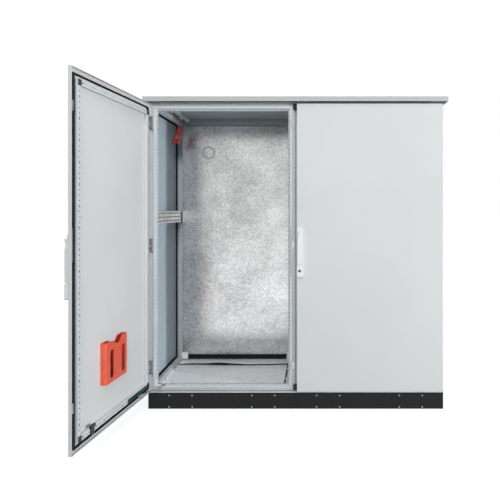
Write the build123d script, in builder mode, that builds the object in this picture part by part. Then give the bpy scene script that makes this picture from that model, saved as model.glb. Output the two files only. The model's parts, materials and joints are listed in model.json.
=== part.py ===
"""Two bayed outdoor switchgear enclosures on one plinth, under one rain canopy.

Millimetres, +Z up. The origin is on the ground at the centre of the plinth. X runs along the front,
to the right as one looks at the doors, and Y runs into the cabinet. The right door is shut, and the
left door stands open. Each door is drawn shut on the right bay, and the left one is its mirror image,
turned about its own hinge line.
"""

import os

from build123d import *

# Plinth
bay_width = 900.0
plinth_depth = 700.0
plinth_height = 100.0
plinth_sheet = 3.0
plinth_flange = 40.0
plinth_joint_gap = 0.5
anchor_radius = 7.0
anchor_side_inset = 60.0
anchor_front_inset = 21.0
screw_spread = (182.0, 322.0)
screw_heights = (12.0, 82.0)
screw_head_radius = 7.0
screw_head_height = 3.0
pad_height = 5.0
pad_size = (50.0, 22.0)

# Welded frame of one bay. A section point lies u inward from the side and v back from the front.
frame_height = 1765.0
frame_front = -355.0
frame_rear = 340.0
frame_side_gap = 10.0
seam_gap = 3.0
frame_wall = 2.0
lip = 8.0
edge_start = 22.0
edge_end = 34.0
flange_step = 14.0
section_size = 44.0
section_chamfer = 8.0
top_edge_start = 24.0
top_edge_end = 40.0
top_section = 50.0
system_pitch = 100.0
system_slot = (14.0, 8.0)
slot_depth = 25.0

# Panels, roof, canopy and the parts between the bays
panel_sheet = 1.5
panel_rim = 10.0
panel_reveal = 11.0
panel_end_gap = 3.0
panel_seal_width = 26.0
panel_seal_inset = 20.0
roof_sheet = 2.0
canopy_overhang = (21.0, 46.0)
canopy_fascia = 29.0
canopy_gap = 24.0
canopy_sheet = 1.5
canopy_bend = 2.5
spacer_radius = 11.0
spacer_inset = (60.0, 40.0)
bay_seal_margin = 1.0
cap_width = 32.0
cap_depth = 4.0
cap_height = 36.0
cap_end_gap = 8.0

# Doors
leaf_sheet = 1.5
leaf_front = -370.0
leaf_depth = 18.0
leaf_free_gap = 8.0
leaf_hinge_gap = 4.5
leaf_bottom_gap = 4.0
leaf_top_gap = 11.0
leaf_bend = 2.5
left_open_angle = 95.5
seal_width = 12.0
seal_hinge_width = 10.0
seal_free_start = 13.0
seal_edge_margin = 1.0
seal_clearance = 0.3
seal_corner = 14.0
tube_width = 25.0
tube_depth = 20.0
tube_wall = 1.5
tube_free_inset = 46.0
tube_hinge_inset = 49.5
tube_bottom_inset = 41.0
tube_top_inset = 48.0
corner_cap_leg = 29.0
corner_cap_sheet = 2.5

# Hinges
hinge_side_offset = 13.0
hinge_front_offset = 4.0
hinge_heights = (256.0, 997.0, 1742.0)
hinge_length = 79.0
knuckle_radius = 5.0
knuckle_length = 26.4
knuckle_gap = 0.3
pin_radius = 2.5
pin_clearance = 0.05
hinge_plate = 1.5
hinge_plate_width = 14.0
hinge_arm = 4.0
hinge_arm_lead = 0.5
door_plate_reach = 15.0

# Handle
handle_centre = 17.2
handle_width = 32.0
handle_corner = 9.0
handle_base_depth = 6.0
handle_housing_height = 74.0
handle_housing_depth = 20.0
handle_pivot_height = 1077.0
handle_head_margin = 30.0
handle_gap = 0.3
hub_radius = 14.0
hub_thickness = 2.0
cheek_height = 14.0
cheek_set_back = 1.0
spindle_side = 7.0
spindle_clearance = 0.1
spindle_leaf_gap = 2.0
lever_thickness = 11.0
lever_length = 192.0
lever_end_gap = 3.0
lever_neck = 22.0
lever_shoulder = 40.0
lever_head_width = 14.0
lever_foot_width = 26.0
lever_corner = 8.0
lever_pin_radius = 2.0
key_plug_radius = 8.0
key_plug_depth = 12.0
key_plug_clearance = 0.2
key_plug_lead = 0.5
key_slot = (2.0, 8.0, 3.0)

# Lock, rods and keepers
lock_case_height = 54.0
lock_case_depth = 6.5
lock_case_width = 32.0
lock_case_start = 2.6
lock_case_wall = 1.0
rod_cover_above = 55.0
rod_cover_below = 97.0
rod_cover_depth = 14.5
spindle_end_gap = 2.0
rod_start = 5.0
rod_size = (6.0, 3.0)
rod_lift = 2.5
rod_end_gap = 3.0
rod_travel = 42.0
rod_slack = 0.5
rod_guides = (450.0, 700.0, 1300.0, 1540.0)
guide_height = 16.0
guide_wall = 1.5
guide_seal_gap = 0.2
hook_reach = 15.0
hook_finger = 6.5
hook_web = 13.0
hook_length = 47.0
hook_side_margin = 1.0
hook_grip = 33.0
keeper_heights = (267.0, 1001.0, 1736.0)
keeper_length = 46.0
keeper_depth = 14.0
keeper_sheet = 2.0
keeper_side_gap = 0.5

# Door stay of the left door
stay_pivot = (77.0, 9.0)
stay_length = 205.0
stay_start_angle = -115.1
stay_thickness = 3.5
stay_height = 141.0
stay_width = 10.0
stay_stud_height = 1.5
stay_foot_width = 24.0
stay_foot_height = 10.0
stay_foot_sheet = 2.0
stay_shelf = 1.7
stay_shelf_margin = 5.0
stay_pin_margin = 1.0
stay_rail_span = (71.0, 325.0)
stay_rail_height = 24.0
stay_rail_sheet = 2.0
stay_rail_ledge = 8.0
stay_slot_width = 4.0
stay_slot_margin = 20.0
stay_slot_offset = 3.0
runner_inset = 121.0
runner_block_width = 28.0
runner_block_head = 26.0
runner_cap_width = 44.0
runner_cap_height = 16.0
runner_cap_corner = 7.0
runner_gap = 0.6
runner_nose = 2.0

# Document pocket of the left door, from the hinge line and from the ground
pocket_span = (374.0, 690.0)
pocket_foot = 338.0
pocket_height = 228.0
pocket_depth = 42.0
pocket_wall = 3.0
pocket_corner = 8.0
pocket_edge = ((0.03, 2), (0.30, 10), (0.44, 20), (0.52, 38), (0.60, 42), (0.67, 34), (0.76, 4), (0.80, 2),
               (0.97, 2))
pocket_slots = (139.0, 262.0)
pocket_slot = (36.0, 144.0)
pocket_slot_height = 94.0

# Inside
plate_side_gap = 0.75
plate_face = 270.0
plate_foot_gap = 63.0
plate_head_gap = 50.0
plate_sheet = 2.5
plate_fold = 20.0
block_width = 44.0
block_reach = 4.0
block_drop = 12.0
block_lip = 8.0
block_lip_height = 14.0
block_back_gap = 2.0
bracket_size = (28.0, 40.0, 30.0)
bracket_sheet = 3.0
bracket_overlap = 20.0
side_rail_foot = 1128.0
side_rail_height = 79.0
side_rail_depth = 20.0
side_rail_set_back = 39.0
rail_slot = (52.0, 8.0)
rail_slot_pitch = (75.0, 25.0)
rail_slot_count = (8, 3)
gland_sheet = 2.0
gland_rim = 10.0
gland_height = 14.0
gland_split = 167.0
foam_size = (6.0, 8.0)
clamp_places = (-168.0, 58.0)
clamp_inset = 14.0
pouch_size = (82.0, 5.0, 106.0)
pouch_inset = 52.0
pouch_depth = 75.0
pouch_drop = 94.0
pouch_edge = 1.5
pouch_tie = (3.0, 2.0)

# Places worked out from the sizes above
frame_foot = plinth_height + pad_height
frame_top = frame_foot + frame_height
frame_in = seam_gap / 2
frame_out = bay_width - frame_side_gap
flank_in = frame_in + section_size
flank_out = frame_out - section_size
frame_x = (frame_in, frame_out)
plate_foot = frame_foot + plate_foot_gap
plate_head = frame_top - plate_head_gap
frame_z = (frame_foot, frame_top)
frame_middle = ((frame_front + frame_rear) / 2, (frame_foot + frame_top) / 2)
panel_z = (frame_foot + panel_end_gap, frame_top - panel_end_gap)
roof_top = frame_top + roof_sheet
canopy_top = roof_top + canopy_gap + canopy_sheet
leaf_x = (leaf_free_gap, bay_width - leaf_hinge_gap)
leaf_z = (frame_foot + leaf_bottom_gap, frame_top - leaf_top_gap)
leaf_inner = leaf_front + leaf_sheet
leaf_back = leaf_front + leaf_depth
lip_face = frame_front + lip
flange_face = frame_front + flange_step
seal_top = frame_front - seal_clearance
tube_face = leaf_inner + tube_depth
tube_x = (leaf_x[0] + tube_free_inset, leaf_x[1] - tube_hinge_inset)
tube_z = (leaf_z[0] + tube_bottom_inset, leaf_z[1] - tube_top_inset)
hinge_x = bay_width - hinge_side_offset
hinge_y = frame_front - hinge_front_offset
left_hinge_line = Axis((-hinge_x, hinge_y, 0), (0, 0, 1))
handle_x = leaf_x[0] + handle_centre
handle_face = leaf_front - handle_base_depth
handle_foot = handle_pivot_height - lever_length - lever_end_gap - handle_housing_height
handle_head = handle_pivot_height + handle_head_margin
housing_face = leaf_front - handle_housing_depth
hub_face = handle_face - handle_gap - hub_thickness
lever_y = hub_face - handle_gap - lever_thickness / 2
key_plug_height = handle_foot + handle_housing_height / 2
spindle_radius = spindle_side / 2 ** 0.5
spindle_end = leaf_inner + lock_case_depth - spindle_end_gap
lock_case_z = (handle_pivot_height - lock_case_height / 2, handle_pivot_height + lock_case_height / 2)
rod_x = (leaf_x[0] + rod_start, leaf_x[0] + rod_start + rod_size[0])
rod_y = (leaf_inner + rod_lift, leaf_inner + rod_lift + rod_size[1])
gland_z = frame_foot + gland_height
plate_x = (flank_in + plate_side_gap, flank_out - plate_side_gap)
stay_x = -hinge_x + stay_pivot[0]
stay_y = hinge_y + stay_pivot[1]


def slab(x, y, z, mode=Mode.ADD):
    """A square piece between two corners, each axis given as its low and high end."""
    with Locations(((x[0] + x[1]) / 2, (y[0] + y[1]) / 2, (z[0] + z[1]) / 2)):
        Box(x[1] - x[0], y[1] - y[0], z[1] - z[0], mode=mode)


def ring_layer(x, z, y, outer, inner, mode=Mode.ADD):
    """A flat rectangular ring between two depths. outer and inner are insets: side, foot, head."""
    with BuildSketch(Plane.XZ.offset(-y[1])) as layer:
        for inset, sketch_mode in ((outer, Mode.ADD), (inner, Mode.SUBTRACT)):
            width = x[1] - x[0] - 2 * inset[0]
            height = z[1] - z[0] - inset[1] - inset[2]
            with Locations(((x[0] + x[1]) / 2, z[0] + inset[1] + height / 2)):
                Rectangle(width, height, mode=sketch_mode)
    extrude(layer.sketch, amount=y[1] - y[0], mode=mode)


def side_ring(x, outer, inner):
    """A rectangular ring across X, round the side of the frame. outer and inner are insets."""
    with BuildSketch(Plane.YZ.offset(x[0])) as loop:
        for inset, sketch_mode in ((outer, Mode.ADD), (inner, Mode.SUBTRACT)):
            with Locations(frame_middle):
                Rectangle(frame_rear - frame_front - 2 * inset, frame_height - 2 * inset, mode=sketch_mode)
    extrude(loop.sketch, amount=x[1] - x[0])


def bore(x, y, z, radius, length, mode=Mode.SUBTRACT):
    """A round hole, or a round bar, along Y about a centre."""
    with Locations(Location((x, y, z), (90, 0, 0))):
        Cylinder(radius, length, mode=mode)


def keep(piece, name):
    """Name a finished piece and write it out."""
    piece.label = name
    export_step(piece, f"parts/{name}.step")


def to_left_bay(piece):
    """The same piece of the left bay: the mirror image of the right bay's."""
    return piece.mirror(Plane.YZ)


def to_left_door(piece):
    """The same piece of the left door, which stands open."""
    return to_left_bay(piece).rotate(left_hinge_line, -left_open_angle)


def frame_ring(slotted):
    """Front frame of the right bay, its four members welded at the mitres.

    Each has a raised sealing edge, a lip, a flange and a hollow back.
    """
    insets = {
        "edge": ((edge_start, edge_start, top_edge_start), (edge_end, edge_end, top_edge_end)),
        "lip": ((lip, lip, lip), (edge_end, edge_end, top_edge_end)),
        "body": ((lip, lip, lip), (section_size, section_size, top_section)),
        "side": ((0, 0, 0), (section_size, section_size, top_section)),
        "back": ((flange_step, flange_step, flange_step), (section_size, section_size, top_section)),
    }
    steps = (("edge", 0, lip), ("lip", lip, flange_step), ("body", flange_step, edge_start),
             ("side", edge_start, edge_end), ("back", edge_end, section_size))
    hollows = (("edge", frame_wall, lip + frame_wall), ("lip", lip + frame_wall, flange_step + frame_wall),
               ("body", flange_step + frame_wall, edge_start + frame_wall),
               ("side", edge_start + frame_wall, edge_end - frame_wall),
               ("back", edge_end - frame_wall, section_size - frame_wall))
    with BuildPart() as ring:
        for layer, v0, v1 in steps:
            outer, inner = insets[layer]
            ring_layer(frame_x, frame_z, (frame_front + v0, frame_front + v1), outer, inner)
        back_edges = ring.edges().filter_by(GeomType.LINE).group_by(Axis.Y)[-1]
        inner_edges = [edge for edge in back_edges
                       if flank_in - frame_wall < edge.center().X < flank_out + frame_wall
                       and frame_foot + section_size - frame_wall < edge.center().Z
                       < frame_top - top_section + frame_wall]
        chamfer(inner_edges, section_chamfer)
        for layer, v0, v1 in hollows:
            outer, inner = insets[layer]
            shrink = section_chamfer if layer == "back" else frame_wall
            ring_layer(frame_x, frame_z, (frame_front + v0, frame_front + v1),
                       tuple(size + frame_wall for size in outer),
                       tuple(size - shrink for size in inner), mode=Mode.SUBTRACT)
        if slotted:
            slot_rows()
        for pad_x in (frame_in, frame_out - pad_size[0]):
            pad_front = frame_front + edge_start
            slab((pad_x, pad_x + pad_size[0]), (pad_front, pad_front + pad_size[1]),
                 (plinth_height, frame_foot))
    return Compound([frame_member(ring.part, corner) for corner in range(4)])


def frame_member(ring, corner):
    """One member of the welded frame, cut out along the mitres of its two corners."""
    outer = ((frame_in, frame_foot), (frame_out, frame_foot), (frame_out, frame_top), (frame_in, frame_top))
    inner = ((flank_in, frame_foot + section_size), (flank_out, frame_foot + section_size),
             (flank_out, frame_top - top_section), (flank_in, frame_top - top_section))
    ends = (corner, (corner + 1) % 4)
    beyond = [tuple(1.5 * out - 0.5 * clear for out, clear in zip(outer[end], inner[end])) for end in ends]
    with BuildPart() as member:
        add(ring)
        with BuildSketch(Plane.XZ.offset(-frame_front - section_size)) as wedge:
            with BuildLine():
                Polyline([beyond[0], beyond[1], inner[ends[1]], inner[ends[0]]], close=True)
            make_face()
        extrude(wedge.sketch, amount=section_size, mode=Mode.INTERSECT)
    return member.part.solid()


def slot_rows():
    """System slots through the inner flanks of the front frame, cut across the door opening."""
    middle = ((frame_in + frame_out) / 2, frame_middle[1])
    upright_count = int((frame_height - 2 * top_section) // system_pitch)
    cross_count = int((frame_out - frame_in - 2 * section_size) // system_pitch)
    reach = (frame_out - frame_in) / 2 - section_size + frame_wall
    with BuildSketch(Plane.YZ.offset(middle[0])) as upright_slots:
        with Locations((frame_front + slot_depth, middle[1])):
            with GridLocations(system_pitch, system_pitch, 1, upright_count):
                Rectangle(system_slot[1], system_slot[0])
    extrude(upright_slots.sketch, amount=reach, both=True, mode=Mode.SUBTRACT)
    reach = frame_height / 2 - section_size + frame_wall
    with BuildSketch(Plane.XY.offset(middle[1])) as cross_slots:
        with Locations((middle[0], frame_front + slot_depth)):
            with GridLocations(system_pitch, system_pitch, cross_count, 1):
                Rectangle(system_slot[0], system_slot[1])
    extrude(cross_slots.sketch, amount=reach, both=True, mode=Mode.SUBTRACT)


def rear_frame_ring():
    """The rear frame is the front frame without slots, turned to face the back."""
    return frame_ring(slotted=False).mirror(Plane.XZ.offset(-frame_middle[0]))


def depth_rails():
    """Four hollow rails of the right bay that join its front and rear frames."""
    length = (frame_front + section_size, frame_rear - section_size)
    outline = ((lip, lip), (edge_start, lip), (edge_start, 0), (edge_end, 0), (edge_end, flange_step),
               (section_size, flange_step), (section_size, section_size - section_chamfer),
               (section_size - section_chamfer, section_size), (flange_step, section_size),
               (flange_step, edge_end), (0, edge_end), (0, edge_start), (lip, edge_start))
    with BuildPart() as rails:
        for corner_x, across in ((frame_in, 1), (frame_out, -1)):
            for corner_z, up in ((frame_foot, 1), (frame_top, -1)):
                with BuildSketch(Plane.XZ.offset(-length[1])) as section:
                    with BuildLine():
                        Polyline([(corner_x + across * u, corner_z + up * w) for u, w in outline], close=True)
                    make_face()
                    offset(amount=-frame_wall, kind=Kind.INTERSECTION, mode=Mode.SUBTRACT)
                extrude(section.sketch, amount=length[1] - length[0])
    return rails.part


def pan(x, y, z, axis, end):
    """A shallow folded sheet pan. Its face at the low (0) or high (-1) end of the axis is open."""
    with BuildPart() as sheet:
        slab(x, y, z)
        offset(amount=-panel_sheet, openings=sheet.faces().sort_by(axis)[end])
    return sheet.part


def side_panel():
    """Side panel of the right bay, set back from the front and rear corners."""
    return pan((frame_out, bay_width), (frame_front + panel_reveal, frame_rear - panel_reveal), panel_z,
               Axis.X, 0)


def rear_panel():
    """Rear panel of the right bay."""
    return pan((frame_in + panel_end_gap, frame_out), (frame_rear, frame_rear + panel_rim), panel_z, Axis.Y, 0)


def panel_seals():
    """Black foam rings between the frame and the right bay's side panel and rear panel."""
    inset = panel_seal_inset + panel_seal_width
    thickness = panel_rim - panel_sheet
    with BuildPart() as seals:
        ring_layer(frame_x, frame_z, (frame_rear, frame_rear + thickness), (panel_seal_inset,) * 3,
                   (inset,) * 3)
        side_ring((frame_out, frame_out + thickness), panel_seal_inset, inset)
    return seals.part


def plinth_front():
    """Front plinth panel of the right bay, folded in at the top and the bottom."""
    outer = -plinth_depth / 2
    with BuildPart() as panel:
        slab((plinth_joint_gap, bay_width), (outer, outer + plinth_sheet), (0, plinth_height))
        for foot in (0, plinth_height - plinth_sheet):
            slab((plinth_joint_gap, bay_width - plinth_sheet), (outer + plinth_sheet, outer + plinth_flange),
                 (foot, foot + plinth_sheet))
        with Locations((bay_width - anchor_side_inset, outer + anchor_front_inset, plinth_sheet / 2)):
            Cylinder(anchor_radius, plinth_sheet, mode=Mode.SUBTRACT)
    return panel.part


def plinth_side():
    """Side plinth panel, between the flanges of the front and rear panels."""
    outer = plinth_depth / 2
    with BuildPart() as panel:
        slab((bay_width - plinth_sheet, bay_width), (plinth_sheet - outer, outer - plinth_sheet),
             (0, plinth_height))
        for foot in (0, plinth_height - plinth_sheet):
            slab((bay_width - plinth_flange, bay_width - plinth_sheet),
                 (plinth_flange - outer, outer - plinth_flange), (foot, foot + plinth_sheet))
    return panel.part


def plinth_screws():
    """Hexagon screws of the plinth panels, front and rear of both bays."""
    with BuildPart() as screws:
        for back_of_head in (-plinth_depth / 2, plinth_depth / 2 + screw_head_height):
            with BuildSketch(Plane.XZ.offset(-back_of_head)) as heads:
                for bay in (-1, 1):
                    for across in screw_spread:
                        for side in (-1, 1):
                            for height in screw_heights:
                                with Locations((bay * bay_width / 2 + side * across, height)):
                                    RegularPolygon(screw_head_radius, 6)
            extrude(heads.sketch, amount=screw_head_height)
    return screws.part


def rain_canopy():
    """One folded canopy over both bays, open below."""
    x = bay_width + canopy_overhang[0]
    y = plinth_depth / 2 + canopy_overhang[1]
    with BuildPart() as canopy:
        slab((-x, x), (-y, y), (canopy_top - canopy_fascia, canopy_top))
        fillet(canopy.faces().sort_by(Axis.Z)[-1].edges(), canopy_bend)
        offset(amount=-canopy_sheet, openings=canopy.faces().sort_by(Axis.Z)[0])
    return canopy.part


def canopy_spacers():
    """Hexagon spacers between the roof plates and the canopy, at the corners of each bay."""
    with BuildPart() as spacers:
        with BuildSketch(Plane.XY.offset(roof_top)) as feet:
            for x in (spacer_inset[0] - bay_width, -spacer_inset[0], spacer_inset[0],
                      bay_width - spacer_inset[0]):
                for y in (frame_front + spacer_inset[1], frame_rear - spacer_inset[1]):
                    with Locations((x, y)):
                        RegularPolygon(spacer_radius, 6)
        extrude(feet.sketch, amount=canopy_gap)
    return spacers.part


def roof_plate():
    """Flat roof plate of the right bay, on its frame."""
    with BuildPart() as roof:
        slab(frame_x, (frame_front, frame_rear), (frame_top, roof_top))
    return roof.part


def bay_seal():
    """Rubber seal between the raised side edges of the two frames."""
    with BuildPart() as seal:
        side_ring((-frame_in, frame_in), edge_start + bay_seal_margin, edge_end - bay_seal_margin)
    return seal.part


def seam_caps():
    """Black caps that close the channel between the two frames, at its head and its foot."""
    channel = frame_in + lip
    with BuildPart() as caps:
        for foot in (frame_foot + cap_end_gap, frame_top - cap_end_gap - cap_height):
            slab((-cap_width / 2, cap_width / 2), (lip_face - cap_depth, lip_face), (foot, foot + cap_height))
            slab((-channel, channel), (lip_face, frame_front + edge_start), (foot, foot + cap_height))
    return caps.part


def door_leaf():
    """Folded leaf of the right door, open to the inside, with the spindle's hole."""
    with BuildPart() as leaf:
        slab(leaf_x, (leaf_front, leaf_back), leaf_z)
        fillet(leaf.faces().sort_by(Axis.Y)[0].edges(), leaf_bend)
        offset(amount=-leaf_sheet, openings=leaf.faces().sort_by(Axis.Y)[-1])
        bore(handle_x, leaf_front + leaf_sheet / 2, handle_pivot_height, spindle_radius + spindle_leaf_gap,
             leaf_sheet)
    return leaf.part


def door_seal():
    """Foam seal bead of the right door, with rounded corners, stepped over the lock case."""
    x = (leaf_x[0] + seal_free_start, frame_out - edge_start - seal_edge_margin)
    z = (frame_foot + edge_start - seal_edge_margin, frame_top - edge_end)
    with BuildPart() as seal:
        with BuildSketch(Plane.XZ.offset(-seal_top)) as loop:
            with Locations(((x[0] + x[1]) / 2, (z[0] + z[1]) / 2)):
                RectangleRounded(x[1] - x[0], z[1] - z[0], seal_corner)
            inner = (x[0] + seal_width, x[1] - seal_hinge_width)
            with Locations(((inner[0] + inner[1]) / 2, (z[0] + z[1]) / 2)):
                Rectangle(inner[1] - inner[0], z[1] - z[0] - 2 * seal_width, mode=Mode.SUBTRACT)
        extrude(loop.sketch, amount=seal_top - leaf_inner)
        slab((x[0], x[0] + seal_width), (leaf_inner, leaf_inner + lock_case_depth), lock_case_z,
             mode=Mode.SUBTRACT)
    return seal.part


def tube_frame():
    """Hollow stiffening frame of the right door, with the system slots of its upright tubes."""
    upright_count = int((tube_z[1] - tube_z[0]) // system_pitch)
    with BuildPart() as tubes:
        ring_layer(tube_x, tube_z, (leaf_inner, tube_face), (0, 0, 0), (tube_width,) * 3)
        ring_layer(tube_x, tube_z, (leaf_inner + tube_wall, tube_face - tube_wall),
                   (tube_wall,) * 3, (tube_width - tube_wall,) * 3, mode=Mode.SUBTRACT)
        with BuildSketch(Plane.XZ.offset(-tube_face)) as slots:
            for x in (tube_x[0] + tube_width / 2, tube_x[1] - tube_width / 2):
                with Locations((x, (tube_z[0] + tube_z[1]) / 2)):
                    with GridLocations(system_pitch, system_pitch, 1, upright_count):
                        Rectangle(system_slot[1], system_slot[0])
        extrude(slots.sketch, amount=tube_wall, mode=Mode.SUBTRACT)
    return tubes.part


def tube_corner_caps():
    """Black plastic angles over the corners of the door's tube frame."""
    outline = ((0, 0), (corner_cap_leg, 0), (corner_cap_leg, tube_width), (tube_width, tube_width),
               (tube_width, corner_cap_leg), (0, corner_cap_leg))
    with BuildPart() as caps:
        with BuildSketch(Plane.XZ.offset(-tube_face - corner_cap_sheet)) as angles:
            for x, across in ((tube_x[0], 1), (tube_x[1], -1)):
                for z, up in ((tube_z[0], 1), (tube_z[1], -1)):
                    with BuildLine():
                        Polyline([(x + across * u, z + up * w) for u, w in outline], close=True)
                    make_face()
        extrude(angles.sketch, amount=corner_cap_sheet)
    return caps.part


def frame_hinge_halves():
    """Frame halves of the right bay's hinges: plate on the lip, arm, two knuckles and the fixed pin."""
    inner = frame_out - edge_start
    plate_end = inner + hinge_plate_width
    arm_end = inner + hinge_arm
    arm_y = (hinge_y - hinge_arm - hinge_arm_lead, hinge_y - hinge_arm_lead)
    opening = knuckle_length / 2 + knuckle_gap
    with BuildPart() as halves:
        for height in hinge_heights:
            with BuildSketch(Plane.XY.offset(height - hinge_length / 2)) as section:
                with BuildLine():
                    Polyline([(inner, lip_face), (plate_end, lip_face), (plate_end, lip_face - hinge_plate),
                              (arm_end, lip_face - hinge_plate), (arm_end, arm_y[1]), (hinge_x, arm_y[1]),
                              (hinge_x, arm_y[0]), (inner, arm_y[0])], close=True)
                make_face()
                with Locations((hinge_x, hinge_y)):
                    Circle(knuckle_radius)
            extrude(section.sketch, amount=hinge_length)
            slab((arm_end, hinge_x + knuckle_radius), (hinge_y - knuckle_radius, hinge_y + knuckle_radius),
                 (height - opening, height + opening), mode=Mode.SUBTRACT)
            with Locations((hinge_x, hinge_y, height)):
                Cylinder(pin_radius, 2 * opening)
    return halves.part


def door_hinge_halves():
    """Door halves of the right door's hinges: plate on the leaf, web and bored knuckle."""
    web = knuckle_radius / 2
    with BuildPart() as halves:
        for height in hinge_heights:
            slab((hinge_x - door_plate_reach, hinge_x + knuckle_radius), (leaf_inner, leaf_inner + hinge_plate),
                 (height - hinge_length / 2, height + hinge_length / 2))
            with BuildSketch(Plane.XY.offset(height - knuckle_length / 2)) as section:
                with Locations((hinge_x, (leaf_inner + hinge_y) / 2)):
                    Rectangle(2 * web, hinge_y - leaf_inner)
                with Locations((hinge_x, hinge_y)):
                    Circle(knuckle_radius)
                    Circle(pin_radius + pin_clearance, mode=Mode.SUBTRACT)
            extrude(section.sketch, amount=knuckle_length)
    return halves.part


def keepers():
    """Lock keepers on the seam lip: a plate, a wall and, above and below, a tongue for the hook."""
    wall_x = (frame_in + lip + keeper_side_gap, frame_in + lip + keeper_side_gap + keeper_sheet)
    front = lip_face - keeper_depth
    with BuildPart() as plates:
        for index, height in enumerate(keeper_heights):
            z = (height - keeper_length / 2, height + keeper_length / 2)
            slab((wall_x[0], frame_in + edge_start), (lip_face - hinge_plate, lip_face), z)
            if index != 1:
                slab(wall_x, (front, lip_face - hinge_plate), z)
                slab((wall_x[0], rod_x[1] + hook_side_margin), (front, front + keeper_sheet), z)
    return plates.part


def lock_rod(rod_z, web_z, finger_z):
    """A flat lock rod with a hook whose finger points along the rod's travel."""
    finger_x = (rod_x[0], rod_x[1] + hook_side_margin)
    finger_y = (rod_y[0] + hook_reach - hook_finger, rod_y[0] + hook_reach)
    with BuildPart() as rod:
        slab(rod_x, rod_y, rod_z)
        slab(finger_x, (rod_y[0], finger_y[1]), web_z)
        slab(finger_x, finger_y, finger_z)
    return rod.part


def upper_rod():
    """Upper lock rod, drawn back, its finger pointing up. Its travel takes the finger behind the tongue."""
    tongue_foot = keeper_heights[-1] - keeper_length / 2
    head = tongue_foot + hook_grip - rod_travel
    foot = head - hook_length
    return lock_rod((handle_pivot_height + spindle_radius + rod_end_gap, foot + hook_web),
                    (foot, foot + hook_web), (foot, head))


def lower_rod():
    """Lower lock rod, drawn back, its finger pointing down. Its travel takes the finger behind the tongue."""
    tongue_head = keeper_heights[0] + keeper_length / 2
    foot = tongue_head - hook_grip + rod_travel
    head = foot + hook_length
    return lock_rod((head - hook_web, handle_pivot_height - spindle_radius - rod_end_gap),
                    (head - hook_web, head), (foot, head))


def lock_case():
    """Lock case behind the spindle, the channel that covers the rods beside it, and the rods' guide clips."""
    case_x = (leaf_x[0] + lock_case_start, leaf_x[0] + lock_case_start + lock_case_width)
    cover_x = (case_x[0], leaf_x[0] + seal_free_start)
    cover_z = (handle_pivot_height - rod_cover_below, handle_pivot_height + rod_cover_above)
    wall = lock_case_wall
    with BuildPart() as case:
        slab(case_x, (leaf_inner, leaf_inner + lock_case_depth), lock_case_z)
        slab(cover_x, (leaf_inner, leaf_inner + rod_cover_depth), cover_z)
        slab((case_x[0] + wall, case_x[1] - wall), (leaf_inner, leaf_inner + lock_case_depth - wall),
             (lock_case_z[0] + wall, lock_case_z[1] - wall), mode=Mode.SUBTRACT)
        slab((cover_x[0] + wall, cover_x[1] - wall), (leaf_inner, leaf_inner + rod_cover_depth - wall), cover_z,
             mode=Mode.SUBTRACT)
        for height in rod_guides:
            z = (height - guide_height / 2, height + guide_height / 2)
            slab((rod_x[0] - rod_slack - guide_wall, cover_x[1] - guide_seal_gap),
                 (leaf_inner, rod_y[1] + rod_slack + guide_wall), z)
            slab((rod_x[0] - rod_slack, rod_x[1] + rod_slack), (leaf_inner, rod_y[1] + rod_slack), z,
                 mode=Mode.SUBTRACT)
    return case.part


def handle_base():
    """Handle plate on the leaf, with the raised lock housing at its foot."""
    steps = ((leaf_front, handle_base_depth, handle_head),
             (handle_face, handle_housing_depth - handle_base_depth, handle_foot + handle_housing_height))
    with BuildPart() as base:
        for back, depth, head in steps:
            with BuildSketch(Plane.XZ.offset(-back)) as outline:
                with Locations((handle_x, (handle_foot + head) / 2)):
                    RectangleRounded(handle_width, head - handle_foot, handle_corner)
            extrude(outline.sketch, amount=depth)
        bore(handle_x, (handle_face + leaf_front) / 2, handle_pivot_height, spindle_radius + spindle_clearance,
             handle_base_depth)
        bore_depth = key_plug_depth + key_plug_clearance
        bore(handle_x, housing_face + bore_depth / 2, key_plug_height, key_plug_radius + key_plug_clearance,
             bore_depth)
    return base.part


def handle_hub():
    """Eight-sided hub plate with two cheeks for the lever's pin, and the square spindle through the leaf."""
    plate_back = handle_face - handle_gap
    cheek_x = (lever_head_width / 2 + handle_gap, hub_radius - cheek_set_back)
    cheek_z = (handle_pivot_height - cheek_height / 2, handle_pivot_height + cheek_height / 2)
    half = spindle_side / 2
    with BuildPart() as hub:
        with BuildSketch(Plane.XZ.offset(-plate_back)) as outline:
            with Locations((handle_x, handle_pivot_height)):
                RegularPolygon(hub_radius, 8, major_radius=False)
        extrude(outline.sketch, amount=hub_thickness)
        for side in (-1, 1):
            low, high = sorted(handle_x + side * x for x in cheek_x)
            slab((low, high), (lever_y - lever_thickness / 2, hub_face), cheek_z)
        slab((handle_x - half, handle_x + half), (plate_back, spindle_end),
             (handle_pivot_height - half, handle_pivot_height + half))
        with Locations(Location((handle_x, lever_y, handle_pivot_height), (0, 90, 0))):
            Cylinder(lever_pin_radius, 2 * cheek_x[1])
    return hub.part


def handle_lever():
    """Swing lever: narrow round head on the pin, widening to a rounded grip."""
    half = lever_thickness / 2
    neck = lever_head_width / 2
    foot = lever_foot_width / 2
    right_side = ((neck, 0), (neck, -lever_neck), (foot, -lever_shoulder), (foot, -lever_length))
    left_side = [(-across, down) for across, down in reversed(right_side)]
    with BuildPart() as lever:
        with BuildSketch(Plane.XZ.offset(-lever_y - half)) as outline:
            with BuildLine():
                Polyline([(handle_x + across, handle_pivot_height + down)
                          for across, down in (*right_side, *left_side)], close=True)
            make_face()
            fillet(outline.vertices().group_by(Axis.Y)[0], lever_corner)
        extrude(outline.sketch, amount=lever_thickness)
        with Locations(Location((handle_x, lever_y, handle_pivot_height), (0, 90, 0))):
            Cylinder(half, lever_head_width)
            Cylinder(lever_pin_radius + pin_clearance, lever_head_width, mode=Mode.SUBTRACT)
    return lever.part


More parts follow.
